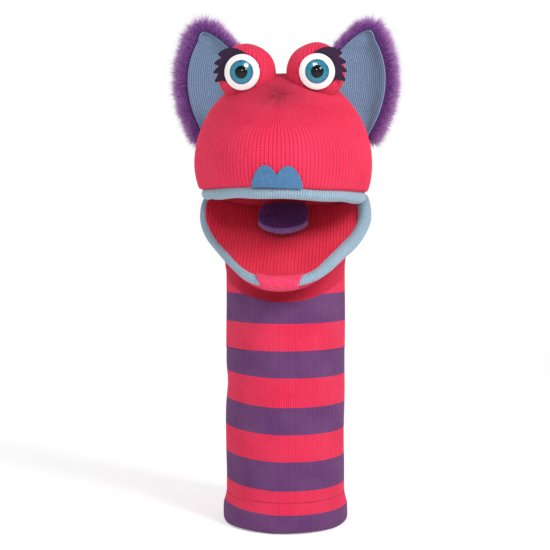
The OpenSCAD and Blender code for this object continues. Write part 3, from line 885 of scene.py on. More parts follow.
def build_head():
    turns, share, direction = head_field()
    points = head_point(direction)
    points = np.concatenate([head_rim(turns, points[0]), points])
    share = np.concatenate([np.zeros((4, 1)), share])
    steps = np.linalg.norm(np.diff(points, axis=0), axis=-1)
    length = np.concatenate([np.zeros((1, points.shape[1])), np.cumsum(steps, axis=0)])
    u = spread((turns - math.pi)[None, :] / TURN * HEAD_WALES, points)
    v = length / HEAD_COURSE
    wide = np.linalg.norm(np.roll(points, -3, axis=1) - points, axis=-1)
    crowded = 1 - smooth((wide - 0.5 * MM) / (1.5 * MM))
    from_gather = np.linalg.norm(points - head_point(GATHER), axis=-1)
    around = np.arctan2(points[..., 0], points[..., 2] - head_point(GATHER)[2])
    near = hump(from_gather, 9 * MM, 9 * MM)
    pucker = 0.35 * MM * np.sin(7 * around + 0.6) * near - 0.9 * MM * hump(from_gather, 0, 4 * MM)
    soft = 0.7 * MM * slow_noise(points, 11, 0.075) * smooth(share / 0.2)
    ridges = wales(u, 0.50 * MM * (1 - 0.8 * crowded))
    points = push_out(points, pucker + soft + ridges, closed_u=True)
    points[..., 2] += lip_sag(points[..., 0]) * smooth((0.3 - share) / 0.3)
    maps = {"stitches": (u, v), "crowding": (crowded, crowded)}
    piece = grid_object("head_knit", points, maps, pink_knit, closed_u=True)
    close_up(piece, above=lip_z + 40 * MM, outward=False)
    thicken(piece, 1.2 * MM)
    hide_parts("head_cover")
    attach(piece, "head")
    declare_cloth(points)


def build_nape():
    columns, rows = 86 * 3, 46
    span = np.linspace(-1, 1, columns)[None, :]
    share = np.linspace(0, 1, rows)[:, None]
    turn = math.pi + math.pi / 2 * span
    low_y = -sleeve_radius * np.cos(turn)
    low_x = sleeve_radius * np.sin(turn)
    rim_share = dome_share(BINDING_RISE)
    upper = math.pi + (math.pi - corner_turn) * span
    top_x = head_half_wide * rim_share * np.sin(upper)
    top_y = head_y - head_half_deep * rim_share * np.cos(upper)
    widening = smooth(share)
    x = mix(low_x, top_x, widening)
    y = mix(low_y, top_y, widening)
    z = mix(wrist_rise(low_y, 1), lip_z + BINDING_RISE + 1.5 * MM + 0 * low_y, share)
    points = stack(x, y, z)
    u = spread(span * 43, points)
    v = points[..., 2] / HEAD_COURSE
    crease = 1.0 * MM * np.sin(math.pi * share) * slow_noise(points, 23, 0.06)
    points = push_out(points, crease + wales(u, 0.28 * MM))
    piece = grid_object("nape_knit", points, {"stitches": (u, v)}, pink_knit)
    thicken(piece, CLOTH)
    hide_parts("nape_panel")
    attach(piece, "head")
    declare_cloth(points)


def build_jaw():
    columns, rows = 96 * 3, 22
    s = np.linspace(-0.985, 0.985, columns)[None, :]
    share = np.linspace(0, 1, rows)[:, None]
    depth = mix(jaw_edge_depth(s), BINDING_RISE - 1.2 * MM, share)
    points = opened(jaw_shell(s, depth, -0.8 * MM))
    u = spread(s * 48, points)
    v = -depth / HEAD_COURSE
    points = push_out(points, 0.5 * MM * slow_noise(points, 31, 0.05) + wales(u, 0.26 * MM))
    piece = grid_object("jaw_knit", points, {"stitches": (u, v)}, pink_knit)
    thicken(piece, CLOTH)
    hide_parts("jaw_cover")
    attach(piece, "jaw")
    declare_cloth(points)


def build_throat():
    columns, rows = 96 * 3, 40
    s = np.linspace(-1, 1, columns)[None, :]
    share = np.linspace(0, 1, rows)[:, None]
    turn = math.pi / 2 * s
    low_y = -sleeve_radius * np.cos(turn)
    low = stack(sleeve_radius * np.sin(turn), low_y, wrist_rise(low_y, 1))
    top = opened(jaw_shell(s * 0.985, jaw_edge_depth(s) - 0.4 * MM, -0.4 * MM))
    points = mix(low, top, share[..., None])
    tuck = np.sin(math.pi * share)
    u = spread(s * 48, points)
    v = share * 22 + 0 * s
    folds = 1.1 * MM * tuck * slow_noise(points, 41, 0.035) - 2.0 * MM * tuck
    points = push_out(points, folds + wales(u, 0.24 * MM))
    piece = grid_object("throat_cloth", points, {"stitches": (u, v)}, pink_knit)
    thicken(piece, CLOTH)
    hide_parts("throat_knit")
    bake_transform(piece)
    declare_cloth(points)


build_head()
build_nape()
build_jaw()
build_throat()


# ---------------------------------------------------------------- lips and mouth

def jaw_line(turn):
    line = lip_line(jaw_half_wide, jaw_half_deep, turn)
    line[..., 0] *= jaw_draw(turn)
    return line


def lower_line(turn):
    """The lower lip spreads a little at the mouth corners."""
    line = jaw_line(turn)
    line[..., 0] *= 1 + 0.05 * smooth((np.abs(turn) - 1.0) / 0.8)
    return line


def lower_rise(turn):
    """It also climbs there, outside the ends of the upper lip."""
    return 10.5 * MM * smooth((np.abs(turn) - 1.15) / 0.7) ** 1.3 + 0.3 * MM * np.sin(7 * turn + 1)


def binding_field(line, level, end_turn, radius_at, rise_at):
    """A ribbed tube along the lip's oval with rounded ends; ribs go round the tube."""
    rings = 560
    around = 26
    turn = end_turn * np.linspace(-1, 1, rings)
    line = line(turn)
    line[:, 2] = level + rise_at(line[:, 0], turn)
    along = unit(np.gradient(line, axis=0))
    length = lengths_along(line)
    out = unit(stack(-along[:, 1], along[:, 0], 0 * along[:, 0]))
    out = np.where((out[:, :1] * line[:, :1] + out[:, 1:2] * (line[:, 1:2] - head_y)) < 0, -out, out)
    up = unit(np.cross(out, along))
    up = np.where(up[:, 2:3] < 0, -up, up)
    from_end = np.minimum(length, length[-1] - length)
    closing = np.sqrt(np.clip(1 - (1 - np.minimum(from_end / (3.2 * MM), 1)) ** 2, 0, 1))
    ribs = length / (1.75 * MM)
    ridge = 0.30 * MM * (np.abs(np.cos(np.pi * ribs)) ** 0.8 - 0.6)
    radius = (radius_at(turn) + ridge + 0.12 * MM * np.sin(length * 210)) * np.maximum(closing, 0.02)
    angle = np.linspace(0, TURN, around, endpoint=False)
    flat = 1.0 + 0.05 * np.cos(2 * angle)[None, :]
    points = (
        line[:, None, :]
        + out[:, None, :] * (radius[:, None] * np.cos(angle)[None, :] * flat)[..., None]
        + up[:, None, :] * (radius[:, None] * np.sin(angle)[None, :])[..., None]
    )
    u = spread(ribs[:, None], points)
    v = spread(angle[None, :] / TURN * 16, points)
    return points, u, v


def binding_object(name, points, u, v, material, node, body):
    rows = points.transpose(1, 0, 2)
    looped = np.concatenate([rows, rows[:1]])
    u_rows = np.concatenate([u.T, u.T[:1]])
    v_rows = np.concatenate([v.T, v.T[:1] + 16])
    piece = grid_object(name, looped, {"stitches": (u_rows, v_rows)}, material)
    close_up(piece, merge=1e-6)
    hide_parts(node)
    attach(piece, body)


def build_bindings():
    end_turn = corner_turn - math.radians(1)

    def upper_radius(turn):
        return binding_radius * (1.0 + 0.12 * smooth((turn - 0.5) / 1.0) - 0.02 * smooth(-turn))

    def upper_rise(x, turn):
        return lip_sag(x) + 1.6 * MM * smooth((-turn - 1.3) / 0.5) + 0.35 * MM * np.sin(9 * turn)

    def upper_line(turn):
        return lip_line(lip_half_wide, lip_half_deep, turn)

    points, u, v = binding_field(upper_line, lip_z, end_turn, upper_radius, upper_rise)
    binding_object("upper_binding", points, u, v, lip_rib, "upper_lip_binding", "head")

    def lower_radius(turn):
        return binding_radius * (0.80 + 0.26 * smooth((turn - 0.1) / 1.1) - 0.14 * smooth(-turn / 0.8))

    def lower_lift(x, turn):
        return lower_rise(turn)

    points, u, v = binding_field(lower_line, jaw_lip_z, end_turn, lower_radius, lower_lift)
    binding_object("lower_binding", opened(points), u, v, lip_rib, "lower_lip_binding", "jaw")


def lining_field(lip, dish):
    """A half-oval of cloth: columns go across, rows go from the hinge to the lip's own line."""
    columns, rows = 150, 70
    across = np.linspace(-1, 1, columns)
    along = np.linspace(0, 1, rows)[:, None, None]
    front = lip(across * corner_turn)
    rear = front[-1:] * np.array([1, 0, 0]) * across[:, None]
    rear[:, 1] = hinge[1] - 2 * MM
    rear[:, 2] = front[-1, 2] * across ** 6
    front[:, 1] = np.minimum(front[:, 1], hinge[1] - 2 * MM)
    points = mix(rear[None, :, :], front[None, :, :], along)
    points[..., 2] += dish * 4 * along[..., 0] * (1 - along[..., 0]) * (1 - across ** 4)
    return points


def build_lining(name, lip, level, dish, node, body, turned):
    points = lining_field(lip, dish)
    u = points[..., 0] / (2.5 * MM)
    v = points[..., 1] / HEAD_COURSE
    ridge = 0.24 * MM * (np.abs(np.sin(np.pi * u)) ** 0.7 - 0.6)
    points[..., 2] += level + (ridge if turned else -ridge)
    points[..., 2] += 0.6 * MM * slow_noise(points, 53, 0.04)
    if turned:
        points = opened(points)
    else:
        points[..., 2] += lip_sag(points[..., 0])
    piece = grid_object(name, points, {"stitches": (u, v)}, mouth_knit)
    thicken(piece, 1.2 * MM, 0.0)
    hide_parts(node)
    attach(piece, body)
    declare_cloth(points)


def upper_lining_line(turn):
    return lip_line(lip_half_wide - 2.2 * MM, lip_half_deep - 2.2 * MM, turn)


def lower_lining_line(turn):
    line = lower_line(turn)
    line[..., 0] *= 1 - 1.6 * MM / jaw_half_wide
    line[..., 1] += 2.0 * MM * np.cos(turn)
    line[..., 2] = np.maximum(lower_rise(turn), 0)
    return line


def build_hinge_fold():
    """The fold of lining at the back of the mouth, from palate to palate."""
    columns, rows = 120, 14
    across = np.linspace(-1, 1, columns)[None, :]
    angle = np.linspace(-0.5, 0.5, rows)[:, None] * math.pi
    x = across * 57.5 * MM + 0 * angle
    y = hinge[1] + 0.6 * MM + 1.5 * MM * np.cos(angle) + 0 * across
    z = hinge[2] + (lip_z - hinge[2] - 1.0 * MM) * np.sin(angle) + 0 * across
    u = x / (2.3 * MM)
    v = z / HEAD_COURSE
    points = stack(x, y, z)
    piece = grid_object("mouth_fold", points, {"stitches": (u, v)}, mouth_knit)
    thicken(piece, 1.0 * MM, 0.0)
    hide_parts("mouth_hinge_tape")
    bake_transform(piece)
    declare_cloth(points)


build_bindings()
build_lining(
    "upper_lining", upper_lining_line, lip_z - 1.2 * MM, 0.0, "upper_mouth_lining", "head", False
)
build_lining(
    "lower_lining", lower_lining_line, jaw_lip_z + 2.4 * MM, -1.0 * MM, "lower_mouth_lining", "jaw", True
)
build_hinge_fold()


# ---------------------------------------------------------------- felt pieces

def outline_reach(outline, count):
    """Points spaced evenly along a closed outline."""
    closed = np.vstack([outline, outline[:1]])
    steps = lengths_along(closed)
    marks = np.linspace(0, steps[-1], count, endpoint=False)
    return np.stack([np.interp(marks, steps, closed[:, axis]) for axis in range(2)], axis=1)


def felt_plate(name, outline, centre, thickness, lay, material, rings=9):
    """A felt shape cut to an outline, with soft edges, laid onto a surface by lay(x, z, rise)."""
    edge = outline_reach(outline, 300)
    centre = np.array(centre)
    shares = 1 - (1 - np.linspace(0, 1, rings)) ** 1.6
    flat = mix(centre[None, None, :], edge[None, :, :], (0.02 + 0.98 * shares)[:, None, None])
    roll = np.linspace(0, math.pi, 9)[1:-1]
    bulge = thickness * 0.45 * np.sin(roll)
    outward = unit(np.stack([
        np.roll(edge, -1, axis=0)[:, 1] - np.roll(edge, 1, axis=0)[:, 1],
        np.roll(edge, 1, axis=0)[:, 0] - np.roll(edge, -1, axis=0)[:, 0],
    ], axis=1))
    if ((edge - centre) * outward).sum() < 0:
        outward = -outward
    side = edge[None, :, :] + outward[None, :, :] * bulge[:, None, None]
    plan = np.concatenate([flat, side, flat[::-1]])
    rise = np.concatenate([
        np.full(rings, thickness), thickness * (1 + np.cos(roll)) / 2, np.zeros(rings)
    ])[:, None] + 0 * plan[..., 0]
    points = lay(plan[..., 0], plan[..., 1], rise)
    grown = spread(np.arange(len(points))[:, None], points) * 1.0
    turn = spread(np.linspace(0, 1, points.shape[1])[None, :], points)
    piece = grid_object(name, points, {"strand": (turn, grown)}, material, closed_u=True)
    close_up(piece)
    return piece, edge


def bezier(first, pull, last, count):
    share = np.linspace(0, 1, count, endpoint=False)[:, None]
    return mix(mix(first, pull, share), mix(pull, last, share), share)


def head_depth(x, rise):
    """Front surface of the head at a sideways place and a height above the lip."""
    half = dome_share(rise)
    across = np.clip(x / (head_half_wide * half), -0.99, 0.99)
    return head_y - head_half_deep * half * np.sqrt(1 - across ** 2)


def build_upper_felt():
    """The heart-topped lip."""
    half = 17.8
    marks = [
        ((half, 0.2), (17.4, 6.0), (14.6, 10.6)), ((14.6, 10.6), (11.4, 16.8), (6.8, 15.5)),
        ((6.8, 15.5), (4.0, 14.8), (0.0, 8.2)),
    ]
    right = np.concatenate([bezier(*(np.array(mark) for mark in curve), 11) for curve in marks])
    left = right[1:][::-1] * np.array([-1, 1])
    outline = np.concatenate([right, [[0.0, 8.0]], left, [[-half, 0.2]]]) * (0.97 * MM, 0.91 * MM)

    def lay(x, z, rise):
        height = z + BINDING_RISE - 1.4 * MM
        y = head_depth(x, height) - 0.35 * MM - rise
        return stack(x, y, lip_z + height + lip_sag(x))

    piece, edge = felt_plate("heart_lip", outline, (0, 4 * MM), 1.3 * MM, lay, blue_felt)
    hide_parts("upper_lip_felt")
    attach(piece, "head")
    # A pale roll along the felt's outline; its colour is a painted highlight on the edge.
    edge_highlight_roll("heart_lip_edge", lay(edge[:, 0], edge[:, 1], 0 * edge[:, 0] + 0.9 * MM), 0.32 * MM,
               felt_edge_highlight, "head")


def edge_highlight_roll(name, line, radius, material, body):
    """A soft rolled edge that follows a closed line; its pale colour is a painted highlight along the
    edge.
    """
    along = unit(np.roll(line, -1, axis=0) - np.roll(line, 1, axis=0))
    side = unit(np.cross(along, np.array([0.0, 1.0, 0.001])))
    up = np.cross(side, along)
    angle = np.linspace(0, TURN, 8, endpoint=False)
    wobble = radius * (1 + 0.18 * np.sin(np.arange(len(line)) * 2.1))
    points = (
        line[None, :, :]
        + side[None, :, :] * (wobble[None, :] * np.cos(angle)[:, None])[..., None]
        + up[None, :, :] * (wobble[None, :] * np.sin(angle)[:, None])[..., None]
    )
    looped = np.concatenate([points, points[:1]])
    count = spread(np.arange(len(line))[None, :], looped) * 1.0
    rows = spread(np.arange(9)[:, None], looped) / 8.0
    piece = grid_object(name, looped, {"strand": (count, rows)}, material, closed_u=True)
    close_up(piece, merge=1e-6, fill=False)
    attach(piece, body)
    return piece


def build_lower_felt():
    """The pink patch wrapped over the front of the lower lip."""
    columns, rows = 90, 34
    wide = np.linspace(-1, 1, columns)[None, :]
    wrap = np.linspace(0, 1, rows)[:, None]
    angle = np.radians(mix(112.0, -72.0, wrap))
    half_turn = np.radians(mix(18.5, 13.5, smooth(wrap / 0.75)))
    corner = 1 - 0.12 * np.abs(wide) ** 6 * np.sin(math.pi * wrap)
    turn = wide * half_turn * corner
    line = jaw_line(turn)
    along = np.gradient(line, axis=1)
    out = unit(stack(along[..., 1], -along[..., 0], 0 * turn))
    reach = binding_radius * 0.86 + 1.15 * MM
    rounding = 0.5 * MM * np.abs(wide) ** 8
    z = jaw_lip_z + (reach - rounding) * np.sin(angle)
    points = line + out * ((reach - rounding) * np.cos(angle))[..., None]
    points = opened(stack(points[..., 0], points[..., 1], z + 0 * points[..., 0]))
    points = push_out(points, 0.12 * MM * slow_noise(points, 61, 0.012))
    u = spread(wide, points)
    v = spread(wrap, points)
    piece = grid_object("lower_lip_patch", points, {"strand": (u, v)}, pink_felt)
    thicken(piece, 1.1 * MM, 0.0)
    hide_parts("lower_lip_felt")
    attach(piece, "jaw")
    area = cloth_area(points)


# A paler copy of the blue felt, a painted highlight for the lip felt's edge.
felt_edge_highlight = felt_material("felt_edge_highlight", srgb(92, 138, 176), srgb(128, 168, 198), 0.1)
build_upper_felt()
build_lower_felt()


# ---------------------------------------------------------------- eyes

MOUND_RADIUS = 21.0
EYE_FACE = 16.2
EYE_FOOT = 17.35
IRIS_RISE = 20.9
WHITE_RADIUS = 12.7
IRIS_RADIUS = 8.7
PUPIL_RADIUS = 4.5


def eye_frame(side):
    """The mound's centre and the eye's own axes, with Z looking out."""
    node = "eye_iris_right" if side > 0 else "eye_iris_left"
    low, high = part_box(node)
    turn = Matrix.Rotation(math.radians(4.5) * side, 3, "Z") @ Matrix.Rotation(math.radians(96), 3, "X")
    axes = np.array(turn)
    iris = np.array((low + high) / 2)
    return iris - axes[:, 2] * IRIS_RISE * MM, axes


def placed(points, centre, axes):
    return points @ axes.T + centre


def turned_shape(name, profile, side, steps, material):
    """A round shape about the eye's axis from (radius, height) pairs, closed at both ends."""
    centre, axes = eye_frame(side)
    marks = np.array(profile) * MM
    angle = np.linspace(0, TURN, steps, endpoint=False)[None, :]
    reach = np.maximum(marks[:, :1], 1e-5)
    points = stack(reach * np.cos(angle), reach * np.sin(angle), marks[:, 1:] + 0 * angle)
    u = spread(angle / TURN, points)
    v = spread(reach / marks[:, 0].max(), points)
    piece = grid_object(
        name, placed(points, centre, axes), {"rings": (u, v)}, material, closed_u=True
    )
    close_up(piece)
    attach(piece, "head")
    return piece


def dome_profile(radius, foot, rim, crown, inner=0.0, count=18):
    """A low glossy dome: flat foot, rounded rim and a curved top, down to an inner radius."""
    rolls = np.linspace(-math.pi / 2, math.pi * 0.42, 9)
    half = rim / 2
    edge = [(radius - half + half * math.cos(a), foot + half + half * math.sin(a)) for a in rolls]
    start = edge[-1]
    shares = np.linspace(0, 1, count)[1:]
    top = [
        (start[0] * (1 - s) + inner * s, start[1] + crown * (1 - ((1 - s) + inner / start[0] * s) ** 2))
        for s in shares
    ]
    return [(0.0, foot)] + edge + top


def build_mound(side, suffix):
    """A stuffed ball of knitted cloth; wales run up over it from front to back."""
    centre, axes = eye_frame(side)
    columns, rows = 40 * 4, 84
    turn = np.linspace(0, TURN, columns, endpoint=False)[None, :]
    tilt = np.linspace(0.04, math.pi - 0.04, rows)[:, None]
    top = unit(np.array([0.0, 0.30, 1.0]))
    front = unit(np.array([0.0, -1.0, 0.30]))
    right = np.array([1.0, 0.0, 0.0])
    ball = (
        top * np.cos(tilt)[..., None]
        + (front * np.cos(turn)[..., None] + right * np.sin(turn)[..., None]) * np.sin(tilt)[..., None]
    )
    radius = MOUND_RADIUS * MM + 0.4 * MM * slow_noise(ball * 0.02, 71 + side, 0.02)
    facing = ball @ axes[:, 2]
    pressed = np.where(facing > 0.70, 15.6 * MM / np.maximum(facing, 0.70), radius)
    reach = np.minimum(radius, pressed)
    points = centre + ball * reach[..., None]
    u = spread(turn / TURN * 44, points)
    v = spread(tilt * MOUND_RADIUS * MM / (1.9 * MM), points)
    points = centre + ball * (reach + wales(u, 0.30 * MM) * np.sin(tilt))[..., None]
    piece = grid_object(
        "eye_ball_cover_" + suffix, points, {"stitches": (u, v)}, pink_knit, closed_u=True
    )
    close_up(piece)
    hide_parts("eye_mound_" + suffix)
    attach(piece, "head")


def lash_outline(side):
    """A dark crescent round the eye's upper, outer edge with four points hooked downwards."""
    base = [(turn, 12.0) for turn in np.linspace(112, 324, 44)]
    hooks = [
        (-20.0, 14.6), (-18.2, 17.4), (-17.2, 21.0), (-13.5, 20.4), (-10.0, 19.2), (-5.0, 18.0),
        (0.0, 16.8), (0.6, 21.2), (5.0, 20.3), (9.3, 19.0), (14.0, 17.6),
        (17.4, 16.8), (17.9, 21.5), (22.0, 20.9), (27.0, 19.8), (32.0, 18.6),
        (36.0, 17.3), (36.6, 21.9), (43.8, 21.5), (54.4, 20.4), (65.8, 18.6), (78.0, 16.5),
        (90.0, 14.4), (104.0, 12.6),
    ]
    polar = np.array(base + hooks)
    turns = np.radians(polar[:, 0])
    return np.stack([side * np.cos(turns), np.sin(turns)], axis=1) * polar[:, 1:] * MM


def build_lash(side, suffix):
    centre, axes = eye_frame(side)

    def lay(x, z, rise):
        out = np.sqrt(x ** 2 + z ** 2)
        back = 3.0 * MM * smooth((out - 12 * MM) / (11 * MM))
        return placed(stack(x, z, EYE_FACE * MM + rise - back), centre, axes)

    piece, _ = felt_plate(
        "lashes_" + suffix, lash_outline(side), (0, 0), 1.1 * MM, lay, lash_felt
    )
    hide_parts("lash_" + suffix)
    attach(piece, "head")


def build_eye(side, suffix):
    white = turned_shape(
        "eye_disc_" + suffix, dome_profile(WHITE_RADIUS, EYE_FOOT, 1.9, 2.8), side, 96,
        eye_white,
    )
    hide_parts("eye_white_" + suffix)
    iris = turned_shape(
        "iris_disc_" + suffix, dome_profile(IRIS_RADIUS, EYE_FOOT + 2.6, 0.7, 1.5), side, 96,
        eye_iris,
    )
    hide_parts("eye_iris_" + suffix)
    pupil = turned_shape(
        "pupil_dome_" + suffix, dome_profile(PUPIL_RADIUS, EYE_FOOT + 4.0, 0.6, 1.5), side, 64,
        eye_pupil,
    )
    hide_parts("eye_pupil_" + suffix)


for eye_side, eye_name in ((-1, "left"), (1, "right")):
    build_mound(eye_side, eye_name)
    build_lash(eye_side, eye_name)
    build_eye(eye_side, eye_name)


# ---------------------------------------------------------------- pile

def strand_template():
    """One strand, a slim three-sided spike one high and one in radius, cut in three along its length."""
    bm = bmesh.new()
    bmesh.ops.create_cone(
        bm, cap_ends=False, segments=3, radius1=1.0, radius2=0.0, depth=1.0,
        matrix=Matrix.Translation((0, 0, 0.5)),
    )
    bmesh.ops.remove_doubles(bm, verts=bm.verts, dist=1e-5)
    for level in (0.35, 0.7):
        bmesh.ops.bisect_plane(
            bm, geom=bm.verts[:] + bm.edges[:] + bm.faces[:], plane_co=(0, 0, level), plane_no=(0, 0, 1)
        )
    bm.verts.index_update()
    places = np.array([vert.co[:] for vert in bm.verts])
    faces = [[vert.index for vert in face.verts] for face in bm.faces]
    bm.free()
    return places, faces


def strands(name, roots, directions, lengths, width, material, seed, curl=0.35):
    """Many thin pile strands, each a copy of the template that leans, bends and tapers."""
    random = np.random.default_rng(seed)
    template, faces = strand_template()
    count, size = len(roots), len(template)
    directions = unit(directions)
    side = unit(np.cross(directions, unit(random.normal(size=(count, 3)))))
    other = np.cross(directions, side)
    bend = unit(random.normal(size=(count, 3))) * curl
    level = template[:, 2]
    fuller = 1 + 0.8 * np.sin(math.pi * level)
    along = unit(directions[:, None, :] + bend[:, None, :] * level[None, :, None])
    points = (
        roots[:, None, :]
        + along * (lengths[:, None] * level[None, :])[..., None]
        + side[:, None, :] * (template[:, 0] * fuller * width)[None, :, None]
        + other[:, None, :] * (template[:, 1] * fuller * width)[None, :, None]
    )
    mesh = bpy.data.meshes.new(name)
    mesh.vertices.add(count * size)
    mesh.vertices.foreach_set("co", points.reshape(-1))
    start = (np.arange(count) * size)[:, None]
    corners = np.concatenate([start + np.array(face)[None, :] for face in faces], axis=1).reshape(-1)
    sides = np.tile([len(face) for face in faces], count)
    mesh.loops.add(len(corners))
    mesh.loops.foreach_set("vertex_index", corners.astype(np.int32))
    mesh.polygons.add(len(sides))
    mesh.polygons.foreach_set(
        "loop_start", np.concatenate([[0], np.cumsum(sides)[:-1]]).astype(np.int32)
    )
    mesh.update(calc_edges=True)
    layer = mesh.uv_layers.new(name="strand")
    shade = np.repeat(random.uniform(size=count), size)
    pair = np.stack([shade, np.tile(level, count)], axis=-1)
    layer.data.foreach_set("uv", pair[corners].ravel())
    mesh.polygons.foreach_set("use_smooth", [True] * len(mesh.polygons))
    return as_object(name, mesh, material)


def scattered(points, count, seed):
    """Even random places over a grid of points, with the surface's normals there."""
    random = np.random.default_rng(seed)
    a, b = points[:-1, :-1].reshape(-1, 3), points[:-1, 1:].reshape(-1, 3)
    c, d = points[1:, 1:].reshape(-1, 3), points[1:, :-1].reshape(-1, 3)
    normal = np.cross(b - a, d - a) + np.cross(d - c, b - c)
    area = np.linalg.norm(normal, axis=1)
    chosen = random.choice(len(area), size=count, p=area / area.sum())
    u = random.uniform(size=(count, 1))
    v = random.uniform(size=(count, 1))
    place = mix(mix(a[chosen], b[chosen], u), mix(d[chosen], c[chosen], u), v)
    return place, unit(normal[chosen])


# ---------------------------------------------------------------- ears

EAR_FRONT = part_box("ear_knit_right")[0][1]
EAR_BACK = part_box("ear_fur_right")[1][1]


def head_edge_x(rise):
    """Reach of the head's surface, at a height above the lip, in the plane of the ears."""
    up = (rise - CHEEK_RISE) / crown_rise
    back = (EAR_FRONT - head_y) / head_half_deep
    return head_half_wide * np.sqrt(np.maximum(1 - up ** 2 - back ** 2, 0.0))


def even_steps(line, count):
    steps = lengths_along(line)
    marks = np.linspace(0, steps[-1], count)
    return np.stack([np.interp(marks, steps, line[:, axis]) for axis in range(2)], axis=1)


def ear_edges(grow, count):
    """The knitted front's outer and inner edges from foot to tip, as (x, height above the lip)."""
    low = np.array([63.0 * MM + grow * 0.5, 46.0 * MM - grow])
    shoulder = np.array([68.0 * MM + grow * 0.8, 119.0 * MM + grow * 0.6])
    tip = np.array([63.4 * MM + grow * 0.2, 125.5 * MM + grow * 1.2])
    brow = np.array([41.0 * MM, 110.0 * MM + grow])
    belly = np.array([2 * (76.0 * MM + grow) - (low[0] + shoulder[0]) / 2, 86.0 * MM])
    round_tip = np.array([67.0 * MM + grow * 0.8, 125.0 * MM + grow * 1.2])
    outer = np.vstack([bezier(low, belly, shoulder, 60), bezier(shoulder, round_tip, tip, 16), tip])
    heights = np.linspace(low[1], 68 * MM, 40)
    root = np.stack([head_edge_x(heights) - 1.5 * MM, heights], axis=1)
    rising = bezier(root[-1], np.array([30.0 * MM, 90 * MM]), brow, 24)
    over = bezier(brow, np.array([53.0 * MM, 124.0 * MM + grow]), tip, 30)
    inner = np.vstack([root, rising, over, tip])
    return even_steps(outer, count), even_steps(inner, count)


def ear_sheet(side, grow, columns, rows, depth_at):
    """Rows run from the foot to the tip, columns from the outer edge in to the head."""
    outer, inner = ear_edges(grow, rows)
    across = np.linspace(0, 1, columns)[None, :, None]
    flat = mix(outer[:, None, :], inner[:, None, :], across)
    along = np.linspace(0, 1, rows)[:, None]
    width = np.linalg.norm(inner - outer, axis=1)[:, None]
    share = across[..., 0] + 0 * along
    depth = depth_at(share, along, width)
    return stack(side * flat[..., 0], depth, lip_z + flat[..., 1]), share, along + 0 * share, width


def ear_scoop(share, along, width):
    """The ear's front is hollow: its outer edge comes forward and its middle lies back."""
    hollow = 5.6 * MM * np.sin(math.pi * np.clip(share * 1.02, 0, 1)) * np.sin(math.pi * along) ** 0.6
    roll = -2.6 * MM * hump(share, 0.0, 0.16) - 1.2 * MM * hump(share, 1.0, 0.12)
    return EAR_FRONT + 1.5 * MM + hollow * np.minimum(width / (30 * MM), 1.0) + roll


def build_ear(side, suffix):
    body = "ear_" + suffix
    columns, rows = 128, 132
    points, share, along, width = ear_sheet(side, 0.0, columns, rows, ear_scoop)
    area = cloth_area(points)
    from_outer = share * width
    ribs = from_outer / (1.6 * MM)
    fade = smooth(from_outer / (2 * MM)) * smooth((1 - share) * width / (2 * MM))
    points[..., 1] -= 0.34 * MM * (np.abs(np.cos(np.pi * ribs)) ** 0.8 - 0.5) * fade
    v = along * 46
    front = grid_object("ear_front_" + suffix, points, {"stitches": (ribs, v)}, ear_rib)
    thicken(front, 1.4 * MM, 1.0 if side > 0 else -1.0)
    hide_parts("ear_knit_" + suffix)
    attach(front, body)

    def pad_depth(back):
        def depth(share, along, width):
            swell = np.sqrt(np.clip(np.sin(math.pi * share), 0, 1)) * np.sin(math.pi * along) ** 0.4
            scoop = ear_scoop(share, along, width)
            return mix(scoop + 1.6 * MM, EAR_BACK - 4.2 * MM + 3.4 * MM * swell, back)
        return depth

    back_points, _, _, _ = ear_sheet(side, 1.6 * MM, 60, 66, pad_depth(1.0))
    front_points, _, _, _ = ear_sheet(side, 1.6 * MM, 60, 66, pad_depth(0.0))
    shell = np.concatenate([front_points, back_points[:, ::-1]], axis=1)
    u = spread(np.arange(shell.shape[1])[None, :], shell) / 60.0
    v = spread(np.arange(shell.shape[0])[:, None], shell) / 66.0
    pad = grid_object(
        "ear_pad_" + suffix, shell, {"strand": (u, v)}, fur_backing, closed_u=True
    )
    close_up(pad, merge=1e-5)
    refine(pad, 1)
    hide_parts("ear_fur_" + suffix)
    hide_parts("ear_wadding_" + suffix)
    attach(pad, body)
    build_ear_fur(side, suffix, back_points, body)


